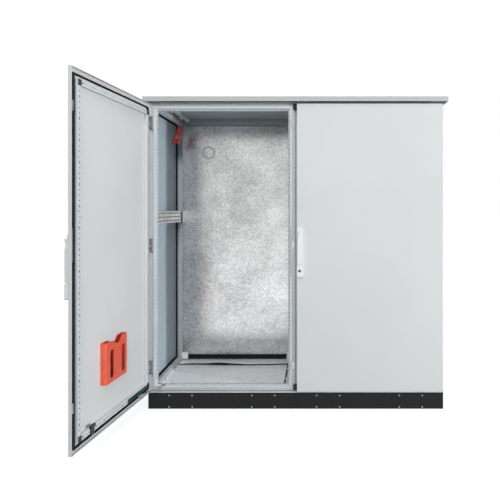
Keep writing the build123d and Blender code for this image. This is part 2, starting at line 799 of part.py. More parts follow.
def key_plug():
    """Key plug of the lock, a little proud of its housing, with its slot."""
    face = housing_face - key_plug_lead
    length = key_plug_depth + key_plug_lead
    width, height, depth = key_slot
    with BuildPart() as plug:
        bore(handle_x, face + length / 2, key_plug_height, key_plug_radius, length, Mode.ADD)
        slab((handle_x - width / 2, handle_x + width / 2), (face, face + depth),
             (key_plug_height - height / 2, key_plug_height + height / 2), mode=Mode.SUBTRACT)
    return plug.part


def door_runner():
    """Black run-up block on the door's lower tube: a wide cap over a narrow block."""
    centre = tube_x[0] + runner_inset
    block_head = tube_z[0] + runner_block_head
    with BuildPart() as runner:
        slab((centre - runner_block_width / 2, centre + runner_block_width / 2),
             (tube_face, flange_face - runner_gap), (frame_foot + edge_end + seal_edge_margin, block_head))
        slab((centre - runner_cap_width / 2, centre + runner_cap_width / 2),
             (tube_face, flange_face + runner_nose), (block_head, block_head + runner_cap_height))
        fillet(runner.edges().filter_by(Axis.Y).group_by(Axis.Z)[-1], runner_cap_corner)
    return runner.part


def stay_rail():
    """Angle on the lower tube that guides the stay's slider, slotted below."""
    x = (hinge_x - stay_rail_span[1], hinge_x - stay_rail_span[0])
    foot = tube_z[0] - stay_rail_sheet
    with BuildPart() as rail:
        slab(x, (tube_face, tube_face + stay_rail_sheet), (foot, foot + stay_rail_height))
        slab(x, (tube_face - stay_rail_ledge, tube_face), (foot, tube_z[0]))
        with BuildSketch(Plane.XY.offset(foot)) as slot:
            with Locations(((x[0] + x[1]) / 2, tube_face - stay_slot_offset)):
                SlotOverall(x[1] - x[0] - 2 * stay_slot_margin, stay_slot_width)
        extrude(slot.sketch, amount=stay_rail_sheet, mode=Mode.SUBTRACT)
    return rail.part


def stay_bracket():
    """Bracket on the left bay's lower flange, with the fixed pin of the stay arm."""
    x = (stay_x - stay_foot_width / 2, stay_x + stay_foot_width / 2)
    foot = frame_foot + edge_end
    with BuildPart() as bracket:
        slab(x, (flange_face - stay_foot_sheet, flange_face), (foot, foot + stay_foot_height))
        slab(x, (stay_y - stay_shelf_margin, flange_face - stay_foot_sheet), (foot, foot + stay_shelf))
        with Locations((stay_x, stay_y, foot)):
            Cylinder(pin_radius, stay_height - foot + stay_thickness + stay_pin_margin,
                     align=(Align.CENTER, Align.CENTER, Align.MIN))
    return bracket.part


def stay_arm():
    """Flat stay arm with a bored eye on its pin and a slider stud at its free end."""
    with BuildPart() as arm:
        with BuildSketch(Plane.XY.offset(stay_height)) as outline:
            with Locations(Location((stay_x, stay_y, 0), (0, 0, stay_start_angle))):
                with Locations((stay_length / 2, 0)):
                    SlotCenterToCenter(stay_length, stay_width)
                Circle(pin_radius + pin_clearance, mode=Mode.SUBTRACT)
        extrude(outline.sketch, amount=stay_thickness)
        with Locations(Location((stay_x, stay_y, stay_height + stay_thickness), (0, 0, stay_start_angle))):
            with Locations((stay_length, 0, 0)):
                Cylinder(pin_radius, stay_stud_height, align=(Align.CENTER, Align.CENTER, Align.MIN))
    return arm.part


def document_pocket():
    """Orange pocket on the leaf: open above, with a dipped front edge and two tall slots."""
    x = (hinge_x - pocket_span[1], hinge_x - pocket_span[0])
    y = (leaf_inner, leaf_inner + pocket_depth)
    z = (pocket_foot, pocket_foot + pocket_height)
    above = z[1] + pocket_wall
    edge = [(x[0] + along * (x[1] - x[0]), z[1] - drop) for along, drop in pocket_edge]
    with BuildPart() as pocket:
        slab(x, y, z)
        fillet(pocket.edges().filter_by(Axis.Y).group_by(Axis.Z)[0], pocket_corner)
        offset(amount=-pocket_wall, openings=pocket.faces().sort_by(Axis.Z)[-1])
        with BuildSketch(Plane.XZ.offset(-y[1])) as dip:
            with BuildLine():
                Polyline([(x[0] + pocket_corner, above), *edge, (x[1] - pocket_corner, above)], close=True)
            make_face()
            for across in pocket_slots:
                with Locations((x[0] + across, z[0] + pocket_slot_height)):
                    SlotOverall(pocket_slot[1], pocket_slot[0], rotation=90)
        extrude(dip.sketch, amount=2 * pocket_wall, both=True, mode=Mode.SUBTRACT)
    return pocket.part


def mounting_plate():
    """Galvanised mounting plate of the right bay, folded back along its edges."""
    with BuildPart() as plate:
        slab(plate_x, (plate_face, plate_face + plate_fold), (plate_foot, plate_head))
        offset(amount=-plate_sheet, openings=plate.faces().sort_by(Axis.Y)[-1])
    return plate.part


def slide_blocks():
    """White slide blocks of the right bay, on the lower depth rails, that carry the plate's foot."""
    rail_top = frame_foot + section_size
    y = (plate_face - block_lip, plate_face + plate_fold + block_back_gap)
    with BuildPart() as blocks:
        for edge, flank, side in ((plate_x[0], flank_in, -1), (plate_x[1], flank_out, 1)):
            outer = edge + side * block_reach
            inner = outer - side * block_width
            low, high = sorted((outer, inner))
            slab((low, high), y, (rail_top, plate_foot))
            slab((low, high), (y[0], plate_face), (plate_foot, plate_foot + block_lip_height))
            low, high = sorted((flank, inner))
            slab((low, high), y, (rail_top - block_drop, rail_top))
    return blocks.part


def plate_brackets():
    """Angles of the right bay that hold the plate's head to the upper depth rails."""
    head = frame_top - flange_step
    with BuildPart() as brackets:
        for flank, inward in ((flank_in, 1), (flank_out, -1)):
            low, high = sorted((flank, flank + inward * bracket_sheet))
            slab((low, high), (plate_face - bracket_size[1], plate_face), (head - bracket_size[2], head))
            low, high = sorted((flank, flank + inward * bracket_size[0]))
            slab((low, high), (plate_face - bracket_sheet, plate_face), (plate_head - bracket_overlap, head))
    return brackets.part


def side_rail():
    """Slotted rail on the left wall, between the front and rear posts."""
    face = side_rail_set_back - frame_out
    y = (frame_front + section_size, frame_rear - section_size)
    z = (side_rail_foot, side_rail_foot + side_rail_height)
    with BuildPart() as rail:
        slab((face - side_rail_depth, face), y, z)
        slab((face - side_rail_depth, face - panel_sheet), y, (z[0] + panel_sheet, z[1] - panel_sheet),
             mode=Mode.SUBTRACT)
        with BuildSketch(Plane.YZ.offset(face)) as slots:
            with Locations(((y[0] + y[1]) / 2, (z[0] + z[1]) / 2)):
                with GridLocations(*rail_slot_pitch, *rail_slot_count):
                    Rectangle(*rail_slot)
        extrude(slots.sketch, amount=-panel_sheet, mode=Mode.SUBTRACT)
    return rail.part


def gland_plates():
    """Floor plates of the right bay: a wide one in front and a narrow one behind the foam strip."""
    y_ends = ((frame_front + section_size, gland_split), (gland_split + foam_size[0], frame_rear - section_size))
    with BuildPart() as plates:
        for y in y_ends:
            slab((flank_in, flank_out), y, (gland_z, gland_z + gland_rim))
            slab((flank_in + gland_sheet, flank_out - gland_sheet), (y[0] + gland_sheet, y[1] - gland_sheet),
                 (gland_z + gland_sheet, gland_z + gland_rim), mode=Mode.SUBTRACT)
    return plates.part


def gland_foam():
    """Black foam strip in the cable slot between the floor plates of the right bay."""
    with BuildPart() as foam:
        slab((flank_in, flank_out), (gland_split, gland_split + foam_size[0]),
             (gland_z, gland_z + gland_rim + foam_size[1]))
    return foam.part


def clamp_screws():
    """Hexagon clamp screws on the floor plates of the right bay."""
    with BuildPart() as screws:
        with BuildSketch(Plane.XY.offset(gland_z + gland_sheet)) as heads:
            for x in (flank_in + clamp_inset, flank_out - clamp_inset):
                for y in clamp_places:
                    with Locations((x, y)):
                        RegularPolygon(screw_head_radius, 6)
        extrude(heads.sketch, amount=2 * screw_head_height)
    return screws.part


def red_pouch():
    """Small red plastic pouch that hangs by a flat tie from the upper left depth rail."""
    x, y = pouch_inset - frame_out, pouch_depth
    pouch_top = frame_top - pouch_drop
    width, thickness, height = pouch_size
    with BuildPart() as pouch:
        slab((x - width / 2, x + width / 2), (y - thickness / 2, y + thickness / 2),
             (pouch_top - height, pouch_top))
        chamfer(pouch.edges().filter_by(Axis.Z), pouch_edge)
        slab((-flank_out, pouch_tie[0] - flank_out), (y - pouch_tie[1] / 2, y + pouch_tie[1] / 2),
             (pouch_top, frame_top - section_size / 2))
    return pouch.part


def keep_both(piece, name):
    """Write one node that holds the right bay's piece and its mirror image in the left bay."""
    with BuildPart() as both:
        add(piece)
        add(to_left_bay(piece))
    keep(both.part, name)


def main():
    """Make and write every piece."""
    os.makedirs("parts", exist_ok=True)
    own_in_each_bay = {
        "front_frame": frame_ring(slotted=True), "rear_frame": rear_frame_ring(), "side_panel": side_panel(),
        "rear_panel": rear_panel(), "mounting_plate": mounting_plate(),
    }
    for name, piece in own_in_each_bay.items():
        keep(piece, f"right_{name}")
        keep(to_left_bay(piece), f"left_{name}")
    alike_in_both_bays = {
        "plinth_front_panels": plinth_front(), "plinth_rear_panels": plinth_front().mirror(Plane.XZ),
        "plinth_side_panels": plinth_side(), "depth_rails": depth_rails(), "panel_seals": panel_seals(),
        "roof_plates": roof_plate(), "frame_hinge_halves": frame_hinge_halves(), "keepers": keepers(),
        "slide_blocks": slide_blocks(), "plate_brackets": plate_brackets(), "gland_plates": gland_plates(),
        "gland_foam": gland_foam(), "clamp_screws": clamp_screws(),
    }
    for name, piece in alike_in_both_bays.items():
        keep_both(piece, name)
    single = {
        "plinth_screws": plinth_screws(), "rain_canopy": rain_canopy(), "canopy_spacers": canopy_spacers(),
        "bay_seal": bay_seal(), "seam_caps": seam_caps(), "side_rail": side_rail(), "red_pouch": red_pouch(),
        "stay_bracket": stay_bracket(), "stay_arm": stay_arm(), "door_runner": to_left_door(door_runner()),
        "stay_rail": to_left_door(stay_rail()), "document_pocket": to_left_door(document_pocket()),
    }
    for name, piece in single.items():
        keep(piece, name)
    each_door = {
        "door_leaf": door_leaf(), "door_seal": door_seal(), "door_tube_frame": tube_frame(),
        "tube_corner_caps": tube_corner_caps(), "door_hinge_halves": door_hinge_halves(),
        "lock_case": lock_case(), "upper_rod": upper_rod(), "lower_rod": lower_rod(),
        "handle_base": handle_base(), "handle_hub": handle_hub(), "handle_lever": handle_lever(),
        "key_plug": key_plug(),
    }
    for name, piece in each_door.items():
        keep(piece, f"right_{name}")
        keep(to_left_door(piece), f"left_{name}")


main()
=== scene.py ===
"""Dresses the bayed utility cabinet: punched frames, seals, locks, hinges, pocket and finishes."""

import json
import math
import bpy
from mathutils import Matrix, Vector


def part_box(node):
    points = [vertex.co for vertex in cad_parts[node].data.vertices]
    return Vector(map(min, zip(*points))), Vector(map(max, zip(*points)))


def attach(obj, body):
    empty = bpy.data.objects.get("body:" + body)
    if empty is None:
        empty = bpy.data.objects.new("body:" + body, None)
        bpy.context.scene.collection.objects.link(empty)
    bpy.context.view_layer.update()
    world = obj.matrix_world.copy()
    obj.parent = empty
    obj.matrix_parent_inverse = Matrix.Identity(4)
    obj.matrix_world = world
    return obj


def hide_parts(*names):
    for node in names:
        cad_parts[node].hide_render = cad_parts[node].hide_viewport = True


bl_info = {
    "name": "Bayed Utility Cabinet",
    "version": (1, 0, 0),
    "blender": (4, 5, 0),
    "location": "View3D > Sidebar > Cabinet",
    "description": "Adds the finishes and fine parts of a bayed outdoor cabinet",
    "category": "Object",
}

import bmesh
import bpy
from mathutils import Vector

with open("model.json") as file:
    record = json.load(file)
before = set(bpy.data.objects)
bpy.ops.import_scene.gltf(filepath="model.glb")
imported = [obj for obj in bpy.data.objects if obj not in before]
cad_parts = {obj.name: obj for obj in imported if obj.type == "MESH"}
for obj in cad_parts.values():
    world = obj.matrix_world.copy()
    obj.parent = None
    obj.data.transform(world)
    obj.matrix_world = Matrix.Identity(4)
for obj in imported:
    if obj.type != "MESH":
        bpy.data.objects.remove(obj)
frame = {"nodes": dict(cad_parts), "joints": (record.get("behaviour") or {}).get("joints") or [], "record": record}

MM = 0.001


def span(node, axis):
    """A node's low and high end along one axis at rest, in millimetres."""
    low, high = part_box(node)
    return low[axis] / MM, high[axis] / MM


# Places of the right bay, in millimetres, read from the frame
FRAME_X = span("right_front_frame", 0)
FRAME_Z = span("depth_rails", 2)
FRAME_FRONT = span("right_front_frame", 1)[0]
FRAME_REAR = span("right_rear_frame", 1)[1]
LEAF_INNER = span("right_door_leaf", 1)[0] + 1.5
TUBE_X, TUBE_Y, TUBE_Z = (span("right_door_tube_frame", axis) for axis in range(3))
SEAL_X, SEAL_Y, SEAL_Z = (span("right_door_seal", axis) for axis in range(3))
PLATE_X, PLATE_Y, PLATE_Z = (span("right_mounting_plate", axis) for axis in range(3))
JOINTS = {joint["name"]: joint for joint in frame["joints"]}
SWING = JOINTS["left_door_swing"]
LEFT_HINGE = (SWING["pos_m"][0] / MM, SWING["pos_m"][1] / MM)
LEFT_OPEN = math.radians(SWING["range_deg"][0])
HINGE_X = -LEFT_HINGE[0]
PIVOT_Z = JOINTS["right_handle_turn"]["pos_m"][2] / MM
PLINTH_TOP = 100.0
GLAND_TOP = span("gland_plates", 2)[1]
PANEL_OUTER = max(abs(end) for end in span("right_side_panel", 0))


class CabinetSizes(bpy.types.PropertyGroup):
    """Sizes of the fine parts, in millimetres."""

    hole_pitch: bpy.props.FloatProperty(
        name="Hole pitch", description="Spacing of the system holes in millimetres", default=25.0)
    hole_radius: bpy.props.FloatProperty(
        name="Hole radius", description="Radius of a small system hole in millimetres", default=4.3)
    slot_length: bpy.props.FloatProperty(
        name="Slot length", description="Length of a large system slot in millimetres", default=14.0)
    slot_width: bpy.props.FloatProperty(
        name="Slot width", description="Width of a large system slot in millimetres", default=8.0)
    sheet: bpy.props.FloatProperty(
        name="Sheet", description="Wall of the frame tubes in millimetres", default=2.0)
    fold_radius: bpy.props.FloatProperty(
        name="Fold radius", description="Outer radius of a fold in millimetres", default=1.4)


class CabinetColours(bpy.types.PropertyGroup):
    """Colours of the finishes."""

    outside: bpy.props.FloatVectorProperty(
        name="Outside paint", description="Light grey powder coat", subtype="COLOR", size=3,
        default=(0.66, 0.67, 0.67))
    # The inside colour is a darker, bluer copy of the outside paint that stands for the cool shade inside the
    # cabinet: painted shade.
    inside: bpy.props.FloatVectorProperty(
        name="Inside paint", description="Bluish grey primer of frames and inner faces", subtype="COLOR",
        size=3, default=(0.60, 0.63, 0.65))
    plinth: bpy.props.FloatVectorProperty(
        name="Plinth paint", description="Near black satin paint", subtype="COLOR", size=3,
        default=(0.021, 0.021, 0.022))
    zinc: bpy.props.FloatVectorProperty(
        name="Zinc", description="Bright zinc plate of the small parts", subtype="COLOR", size=3,
        default=(0.62, 0.62, 0.60))
    sheet_zinc: bpy.props.FloatVectorProperty(
        name="Galvanised sheet", description="Spangled zinc of the mounting plates", subtype="COLOR",
        size=3, default=(0.67, 0.67, 0.67))
    # Foam's black also colours the block under the mounting plate, which is painted shade.
    foam: bpy.props.FloatVectorProperty(
        name="Foam", description="Black foam and rubber", subtype="COLOR", size=3,
        default=(0.012, 0.012, 0.013))
    pocket: bpy.props.FloatVectorProperty(
        name="Pocket", description="Orange red moulded plastic", subtype="COLOR", size=3,
        default=(0.72, 0.105, 0.055))
    pouch: bpy.props.FloatVectorProperty(
        name="Pouch", description="Red plastic film", subtype="COLOR", size=3,
        default=(0.62, 0.012, 0.02))


def sizes():
    """The sizes as the sidebar has them."""
    return bpy.context.scene.cabinet_sizes


def colours():
    """The colours as the sidebar has them."""
    return bpy.context.scene.cabinet_colours


# Shapes


class Shape:
    """Points and faces gathered in millimetres before they become one mesh."""

    def __init__(self):
        self.points = []
        self.faces = []

    def add(self, points, faces):
        """Adds faces over new points."""
        first = len(self.points)
        self.points += [tuple(point) for point in points]
        self.faces += [tuple(first + index for index in face) for face in faces]

    def quad(self, *corners):
        """Adds one face over four corners."""
        self.add(corners, [(0, 1, 2, 3)])

    def block(self, x, y, z):
        """Adds a square block between two ends on each axis."""
        self.prism([(x[0], y[0]), (x[1], y[0]), (x[1], y[1]), (x[0], y[1])], *z, "Z")

    def loops(self, rings, closed=True):
        """Adds quads between rings of equal length, and from the last to the first if closed."""
        count = len(rings[0])
        points = [point for ring in rings for point in ring]
        faces = []
        for ring in range(len(rings) if closed else len(rings) - 1):
            other = (ring + 1) % len(rings)
            for i in range(count):
                j = (i + 1) % count
                faces.append((ring * count + i, ring * count + j, other * count + j, other * count + i))
        self.add(points, faces)

    def capped(self, rings):
        """Adds quads between rings of equal length and closes both ends."""
        self.loops(rings, closed=False)
        for ring in (rings[0], rings[-1]):
            self.add(ring, [tuple(range(len(ring)))])

    def prism(self, outline, low, high, axis):
        """Adds a closed outline pushed along an axis."""
        self.capped([[place_on(axis, a, b, depth) for a, b in outline] for depth in (low, high)])

    def turned(self, centre, axis, profile, steps):
        """Adds a turned piece: profile gives radius and distance along the axis."""
        turns = [2 * math.pi * step / steps for step in range(steps)]
        circle = [(math.cos(turn), math.sin(turn)) for turn in turns]
        rings = []
        for radius, along in profile:
            ring = [place_on(axis, radius * a, radius * b, along) for a, b in circle]
            rings.append([[start + value for start, value in zip(centre, point)] for point in ring])
        self.capped(rings)


def place_on(axis, a, b, depth):
    """A point of a plane across an axis, at a depth along it."""
    return {"X": (depth, a, b), "Y": (a, depth, b), "Z": (a, b, depth)}[axis]


def rounded_outline(a, b, radius, steps):
    """A rectangle between two ends on each axis, with round corners."""
    centres = ((a[1] - radius, b[1] - radius, 0), (a[0] + radius, b[1] - radius, 90),
               (a[0] + radius, b[0] + radius, 180), (a[1] - radius, b[0] + radius, 270))
    points = []
    for centre_a, centre_b, start in centres:
        for step in range(steps + 1):
            angle = math.radians(start + 90 * step / steps)
            points.append((centre_a + radius * math.cos(angle), centre_b + radius * math.sin(angle)))
    return points


def onward(items):
    """The list from its second item on, with the first at its end."""
    return items[1:] + items[:1]


FOLD_FULLNESS = 0.42


def folded(outline):
    """The outline with each corner cut back into three points, as a fold is."""
    radius = sizes().fold_radius
    points = []
    for before, corner, after in zip(outline[-1:] + outline[:-1], outline, onward(outline)):
        corner = Vector(corner)
        start = corner + (Vector(before) - corner).normalized() * radius
        end = corner + (Vector(after) - corner).normalized() * radius
        middle = (start + end) / 2
        points += [start, middle + (corner - middle) * FOLD_FULLNESS, end]
    return [tuple(point) for point in points]


def hole_ring(length, width, is_round):
    """Eight points of a hole or its cell, from the middle of its far end, turning towards its width."""
    if is_round:
        return [(length * math.cos(math.radians(45 * i)), width * math.sin(math.radians(45 * i)))
                for i in range(8)]
    return [(length, 0), (length, width), (0, width), (-length, width), (-length, 0), (-length, -width),
            (0, -width), (length, -width)]


# Every fourth system hole of a door's tube or a depth rail is a slot. The frames have round holes alone,
# which are longer and wider than the others by these shares.
SLOT_EVERY = 4
FRAME_HOLE_SHARES = (1.15, 1.6)
# Sheet that is left at least between a hole and the edge of its side
HOLE_EDGE = 0.5


def punched_side(shape, outer, inner, inward, slots_too=True):
    """One mitred side of a folded tube, with system holes along its middle.

    outer and inner are the ends of its two long edges, and inward points into the tube.
    """
    a0, a1 = (Vector(point) for point in outer)
    b0, b1 = (Vector(point) for point in inner)
    along = (a1 - a0).normalized()
    start = max(0.0, (b0 - a0).dot(along))
    end = min((a1 - a0).length, (b1 - a0).dot(along))
    across = (b0 - a0) - along * (b0 - a0).dot(along)
    pitch = sizes().hole_pitch
    count = int((end - start) // pitch)
    count -= 1 - count % 2
    first = a0 + along * (start + (end - start - count * pitch) / 2)
    last = first + along * count * pitch
    depth = Vector(inward) * sizes().sheet
    wide = across.normalized()
    long_share, wide_share = (1.0, 1.0) if slots_too else FRAME_HOLE_SHARES
    half = min(sizes().hole_radius * wide_share, across.length / 2 - HOLE_EDGE)
    hole = hole_ring(sizes().hole_radius * long_share, half, True)
    slot = hole_ring(sizes().slot_length / 2, sizes().slot_width / 2, False)
    rim = hole_ring(pitch / 2, across.length / 2, False)
    shape.quad(a0, first, first + across, b0)
    shape.quad(last, a1, b1, last + across)
    for cell in range(count):
        centre = first + along * (cell + 0.5) * pitch + across / 2
        is_slot = slots_too and (cell - count // 2) % SLOT_EVERY == SLOT_EVERY // 2
        edge, mouth = ([centre + along * i + wide * j for i, j in ring]
                       for ring in (rim, slot if is_slot else hole))
        shape.loops([edge, mouth, [point + depth for point in mouth]], closed=False)


def add_members(shape, ring, other, inward=None, slots_too=True):
    """Adds one face of four mitred members between two loops; inward, one for each, has it punched."""
    for near in range(4):
        far = (near + 1) % 4
        if inward:
            punched_side(shape, (ring[near], ring[far]), (other[near], other[far]), inward[near], slots_too)
        else:
            shape.quad(ring[near], ring[far], other[far], other[near])


TOUCH = 0.01


def lies_at(value, *ends):
    """Whether an edge lies at a value with both its ends."""
    return all(abs(end - value) < TOUCH for end in ends)


def upright_loop(x, z, depth):
    """Four corners between two ends across and two ends up, at a depth."""
    return [(x[0], depth, z[0]), (x[1], depth, z[0]), (x[1], depth, z[1]), (x[0], depth, z[1])]


def to_left_bay(point):
    """The mirror place in the left bay."""
    return (-point[0], point[1], point[2])


def to_left_door(point):
    """The place on the open left door of a place on the shut right door."""
    across = -point[0] - LEFT_HINGE[0]
    deep = point[1] - LEFT_HINGE[1]
    cosine, sine = math.cos(LEFT_OPEN), math.sin(LEFT_OPEN)
    return (LEFT_HINGE[0] + across * cosine - deep * sine, LEFT_HINGE[1] + across * sine + deep * cosine,
            point[2])


def as_drawn(point):
    """The place as it is drawn."""
    return point


FINISHES = {}
BAYS = (("left", to_left_bay), ("right", as_drawn))
WELD_DISTANCE = 0.00002
SOFTEN_WELD = 0.000002
SOFTEN_ANGLE = 40


def make_piece(name, shape, body, slot, place=as_drawn, finish=None, bevel=0.0, smooth=30.0, replaces=()):
    """Turns a gathered shape into an object that rides on a body, in its slot's finish unless told."""
    points = [tuple(value * MM for value in place(point)) for point in shape.points]
    mesh = bpy.data.meshes.new(name)
    mesh.from_pydata(points, [], shape.faces)
    work = bmesh.new()
    work.from_mesh(mesh)
    bmesh.ops.remove_doubles(work, verts=work.verts, dist=WELD_DISTANCE)
    bmesh.ops.recalc_face_normals(work, faces=work.faces)
    work.to_mesh(mesh)
    work.free()
    piece = bpy.data.objects.new(name, mesh)
    bpy.context.scene.collection.objects.link(piece)
    mesh.shade_smooth()
    mesh.set_sharp_from_angle(angle=math.radians(smooth))
    mesh.materials.append(FINISHES[finish or slot])
    if bevel:
        soften(piece, bevel)
    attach(piece, body)
    if replaces:
        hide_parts(*replaces)
    return piece


def soften(piece, width, segments=2):
    """Welds the piece's points and rounds its sharp edges by a bevel."""
    weld = piece.modifiers.new("Weld", "WELD")
    weld.merge_threshold = SOFTEN_WELD
    bevel = piece.modifiers.new("Soft edges", "BEVEL")
    bevel.width = width * MM
    bevel.segments = segments
    bevel.limit_method = "ANGLE"
    bevel.angle_limit = math.radians(SOFTEN_ANGLE)
    bevel.harden_normals = True


# Finishes


def set_inputs(tree, node, inputs):
    """Links or sets a node's inputs, which are given by name or number."""
    for key, value in inputs.items():
        if isinstance(value, bpy.types.NodeSocket):
            tree.links.new(value, node.inputs[key])
        else:
            node.inputs[key].default_value = value


def add_node(tree, kind, inputs, operation=None):
    """A new shader node with its inputs."""
    node = tree.nodes.new("ShaderNode" + kind)
    if operation:
        node.operation = operation
    set_inputs(tree, node, inputs)
    return node


def math_node(tree, operation, *values):
    """The result of a math node."""
    return add_node(tree, "Math", dict(enumerate(values)), operation).outputs["Value"]


def new_finish(name):
    """An empty node material with its shader and place coordinates."""
    material = bpy.data.materials.new(name)
    material.use_nodes = True
    tree = material.node_tree
    place = add_node(tree, "TexCoord", {})
    return material, tree, tree.nodes["Principled BSDF"], place.outputs["Object"]


def noise(tree, place, scale, detail=4.0, roughness=0.5):
    """A noise over the object's own place."""
    return add_node(tree, "TexNoise", {"Scale": scale, "Detail": detail, "Roughness": roughness,
                                       "Vector": place}).outputs["Fac"]


def ranged(tree, value, low, high, from_low=0.0, from_high=1.0):
    """Maps a value from one range to another."""
    return add_node(tree, "MapRange", {"From Min": from_low, "From Max": from_high, "To Min": low,
                                       "To Max": high, "Value": value}).outputs["Result"]


def mixed(tree, share, first, second):
    """Mixes two colours, each plain or linked, by a share."""
    mix = tree.nodes.new("ShaderNodeMix")
    mix.data_type = "RGBA"
    first, second = ((*colour, 1.0) if isinstance(colour, tuple) else colour for colour in (first, second))
    set_inputs(tree, mix, {"Factor": share, "A": first, "B": second})
    return mix.outputs["Result"]


def bumped(tree, shader, height, strength, distance):
    """Feeds a height into the shader's normal."""
    bump = add_node(tree, "Bump", {"Strength": strength, "Distance": distance, "Height": height})
    tree.links.new(bump.outputs["Normal"], shader.inputs["Normal"])


def shade(colour, factor):
    """The colour made darker or lighter."""
    return tuple(min(1.0, value * factor) for value in colour)


def paint_finish(name, colour, roughness, grain, depth, gloss=0.4):
    """Powder coat: slight cloudiness, fine orange peel and a soft gloss."""
    material, tree, shader, place = new_finish(name)
    cloud = ranged(tree, noise(tree, place, 2.2, 3.0), 0.0, 1.0, 0.3, 0.7)
    smear = noise(tree, place, 9.0, 5.0, 0.6)
    set_inputs(tree, shader, {
        "Base Color": mixed(tree, cloud, shade(colour, 0.975), shade(colour, 1.02)),
        "Roughness": ranged(tree, smear, roughness - 0.05, roughness + 0.07, 0.3, 0.7),
        "Specular IOR Level": gloss,
    })
    bumped(tree, shader, noise(tree, place, grain, 2.0), 0.25, depth)
    return material


ENCLOSURE_COAT = (0.46, 900.0, 0.00016)
PANEL_MIDDLE = (PANEL_OUTER - 0.75) * MM
PANEL_BLEND = 0.3 * MM


def panel_finish(name, outside, inside):
    """Side panel: powder coat outside, and on the face that looks into the cabinet a darker bluish grey that is
    painted cool shade.
    """
    material = paint_finish(name, outside, *ENCLOSURE_COAT)
    tree = material.node_tree
    base = tree.nodes["Principled BSDF"].inputs["Base Color"]
    place = add_node(tree, "TexCoord", {}).outputs["Object"]
    away = math_node(tree, "ABSOLUTE", add_node(tree, "SeparateXYZ", {"Vector": place}).outputs["X"])
    # Share of the darker bluish colour, painted shade, by nearness to the inner face.
    share = ranged(tree, away, 1.0, 0.0, PANEL_MIDDLE - PANEL_BLEND, PANEL_MIDDLE + PANEL_BLEND)
    tree.links.new(mixed(tree, share, base.links[0].from_socket, inside), base)
    return material


def zinc_finish(name, colour, metallic=1.0):
    """Zinc plate on small parts, with faint drawing marks."""
    material, tree, shader, place = new_finish(name)
    marks = noise(tree, place, 180.0, 3.0)
    set_inputs(tree, shader, {
        "Base Color": mixed(tree, marks, shade(colour, 0.85), shade(colour, 1.12)),
        "Metallic": metallic,
        "Roughness": ranged(tree, noise(tree, place, 60.0), 0.24, 0.42),
    })
    bumped(tree, shader, marks, 0.1, 0.0001)
    return material


# Centre of a dark ring that stands for the shade at a transport hole's edge on the mounting plate: painted shade.
RING_SHADE_CENTRE = (-0.654, PLATE_Y[0] * MM, 1.628)
RING_RADIUS = 0.041
RING_HALF_WIDTH = 0.006
CRYSTAL_SCALE = 105.0


def spangle_finish(name, colour):
    """Galvanised sheet: zinc crystals with different tones, gloss and tilt, and one dark ring of painted shade at
    the edge of a transport hole.
    """
    material, tree, shader, place = new_finish(name)
    crystals = add_node(tree, "TexVoronoi", {"Scale": CRYSTAL_SCALE, "Vector": place})
    split = add_node(tree, "SeparateColor", {"Color": crystals.outputs["Color"]})
    cloud = ranged(tree, noise(tree, place, 3.5, 4.0, 0.6), 0.0, 0.5, 0.35, 0.65)
    glint = noise(tree, place, 240.0, 2.0, 0.7)
    tone = math_node(tree, "MULTIPLY_ADD", split.outputs["Red"], 0.45, cloud)
    sheet = mixed(tree, tone, shade(colour, 0.60), shade(colour, 1.28))
    away = add_node(tree, "VectorMath", {0: place, 1: RING_SHADE_CENTRE}, "DISTANCE")
    on_ring_shade = math_node(tree, "COMPARE", away.outputs["Value"], RING_RADIUS, RING_HALF_WIDTH)
    glint_gloss = ranged(tree, glint, 0.13, 0.24, 0.35, 0.65)
    set_inputs(tree, shader, {
        "Base Color": mixed(tree, ranged(tree, on_ring_shade, 0.0, 0.6), sheet, shade(colour, 0.28)),
        "Metallic": 0.9,
        "Roughness": math_node(tree, "MULTIPLY_ADD", split.outputs["Green"], 0.10, glint_gloss),
    })
    height = math_node(tree, "MULTIPLY_ADD", split.outputs["Blue"], 0.6, glint)
    bumped(tree, shader, height, 0.07, 0.0003)
    return material


def soft_finish(name, colour, roughness, grain, depth, gloss=0.4):
    """Plastic, rubber or foam with its own grain."""
    material, tree, shader, place = new_finish(name)
    cloud = noise(tree, place, 30.0, 4.0)
    smear = noise(tree, place, 70.0)
    set_inputs(tree, shader, {
        "Base Color": mixed(tree, cloud, shade(colour, 0.86), shade(colour, 1.16)),
        "Roughness": ranged(tree, smear, roughness - 0.07, roughness + 0.09),
        "Specular IOR Level": gloss,
    })
    bumped(tree, shader, noise(tree, place, grain, 3.0), 0.3, depth)
    return material


# Pinkish red of the film's patches of painted highlight.
PAINTED_HIGHLIGHT_PINK = (0.85, 0.30, 0.30)


def film_finish(name, colour):
    """Thin red film: lets some light through, with pinkish patches of painted highlight over it."""
    material, tree, shader, place = new_finish(name)
    cloud = ranged(tree, noise(tree, place, 40.0, 5.0, 0.6), 0.0, 1.0, 0.45, 0.75)
    set_inputs(tree, shader, {
        "Base Color": mixed(tree, cloud, colour, PAINTED_HIGHLIGHT_PINK),
        "Roughness": 0.22,
        "Subsurface Weight": 0.25,
        "Subsurface Scale": 0.004,
    })
    bumped(tree, shader, noise(tree, place, 55.0, 4.0), 0.5, 0.0016)
    return material


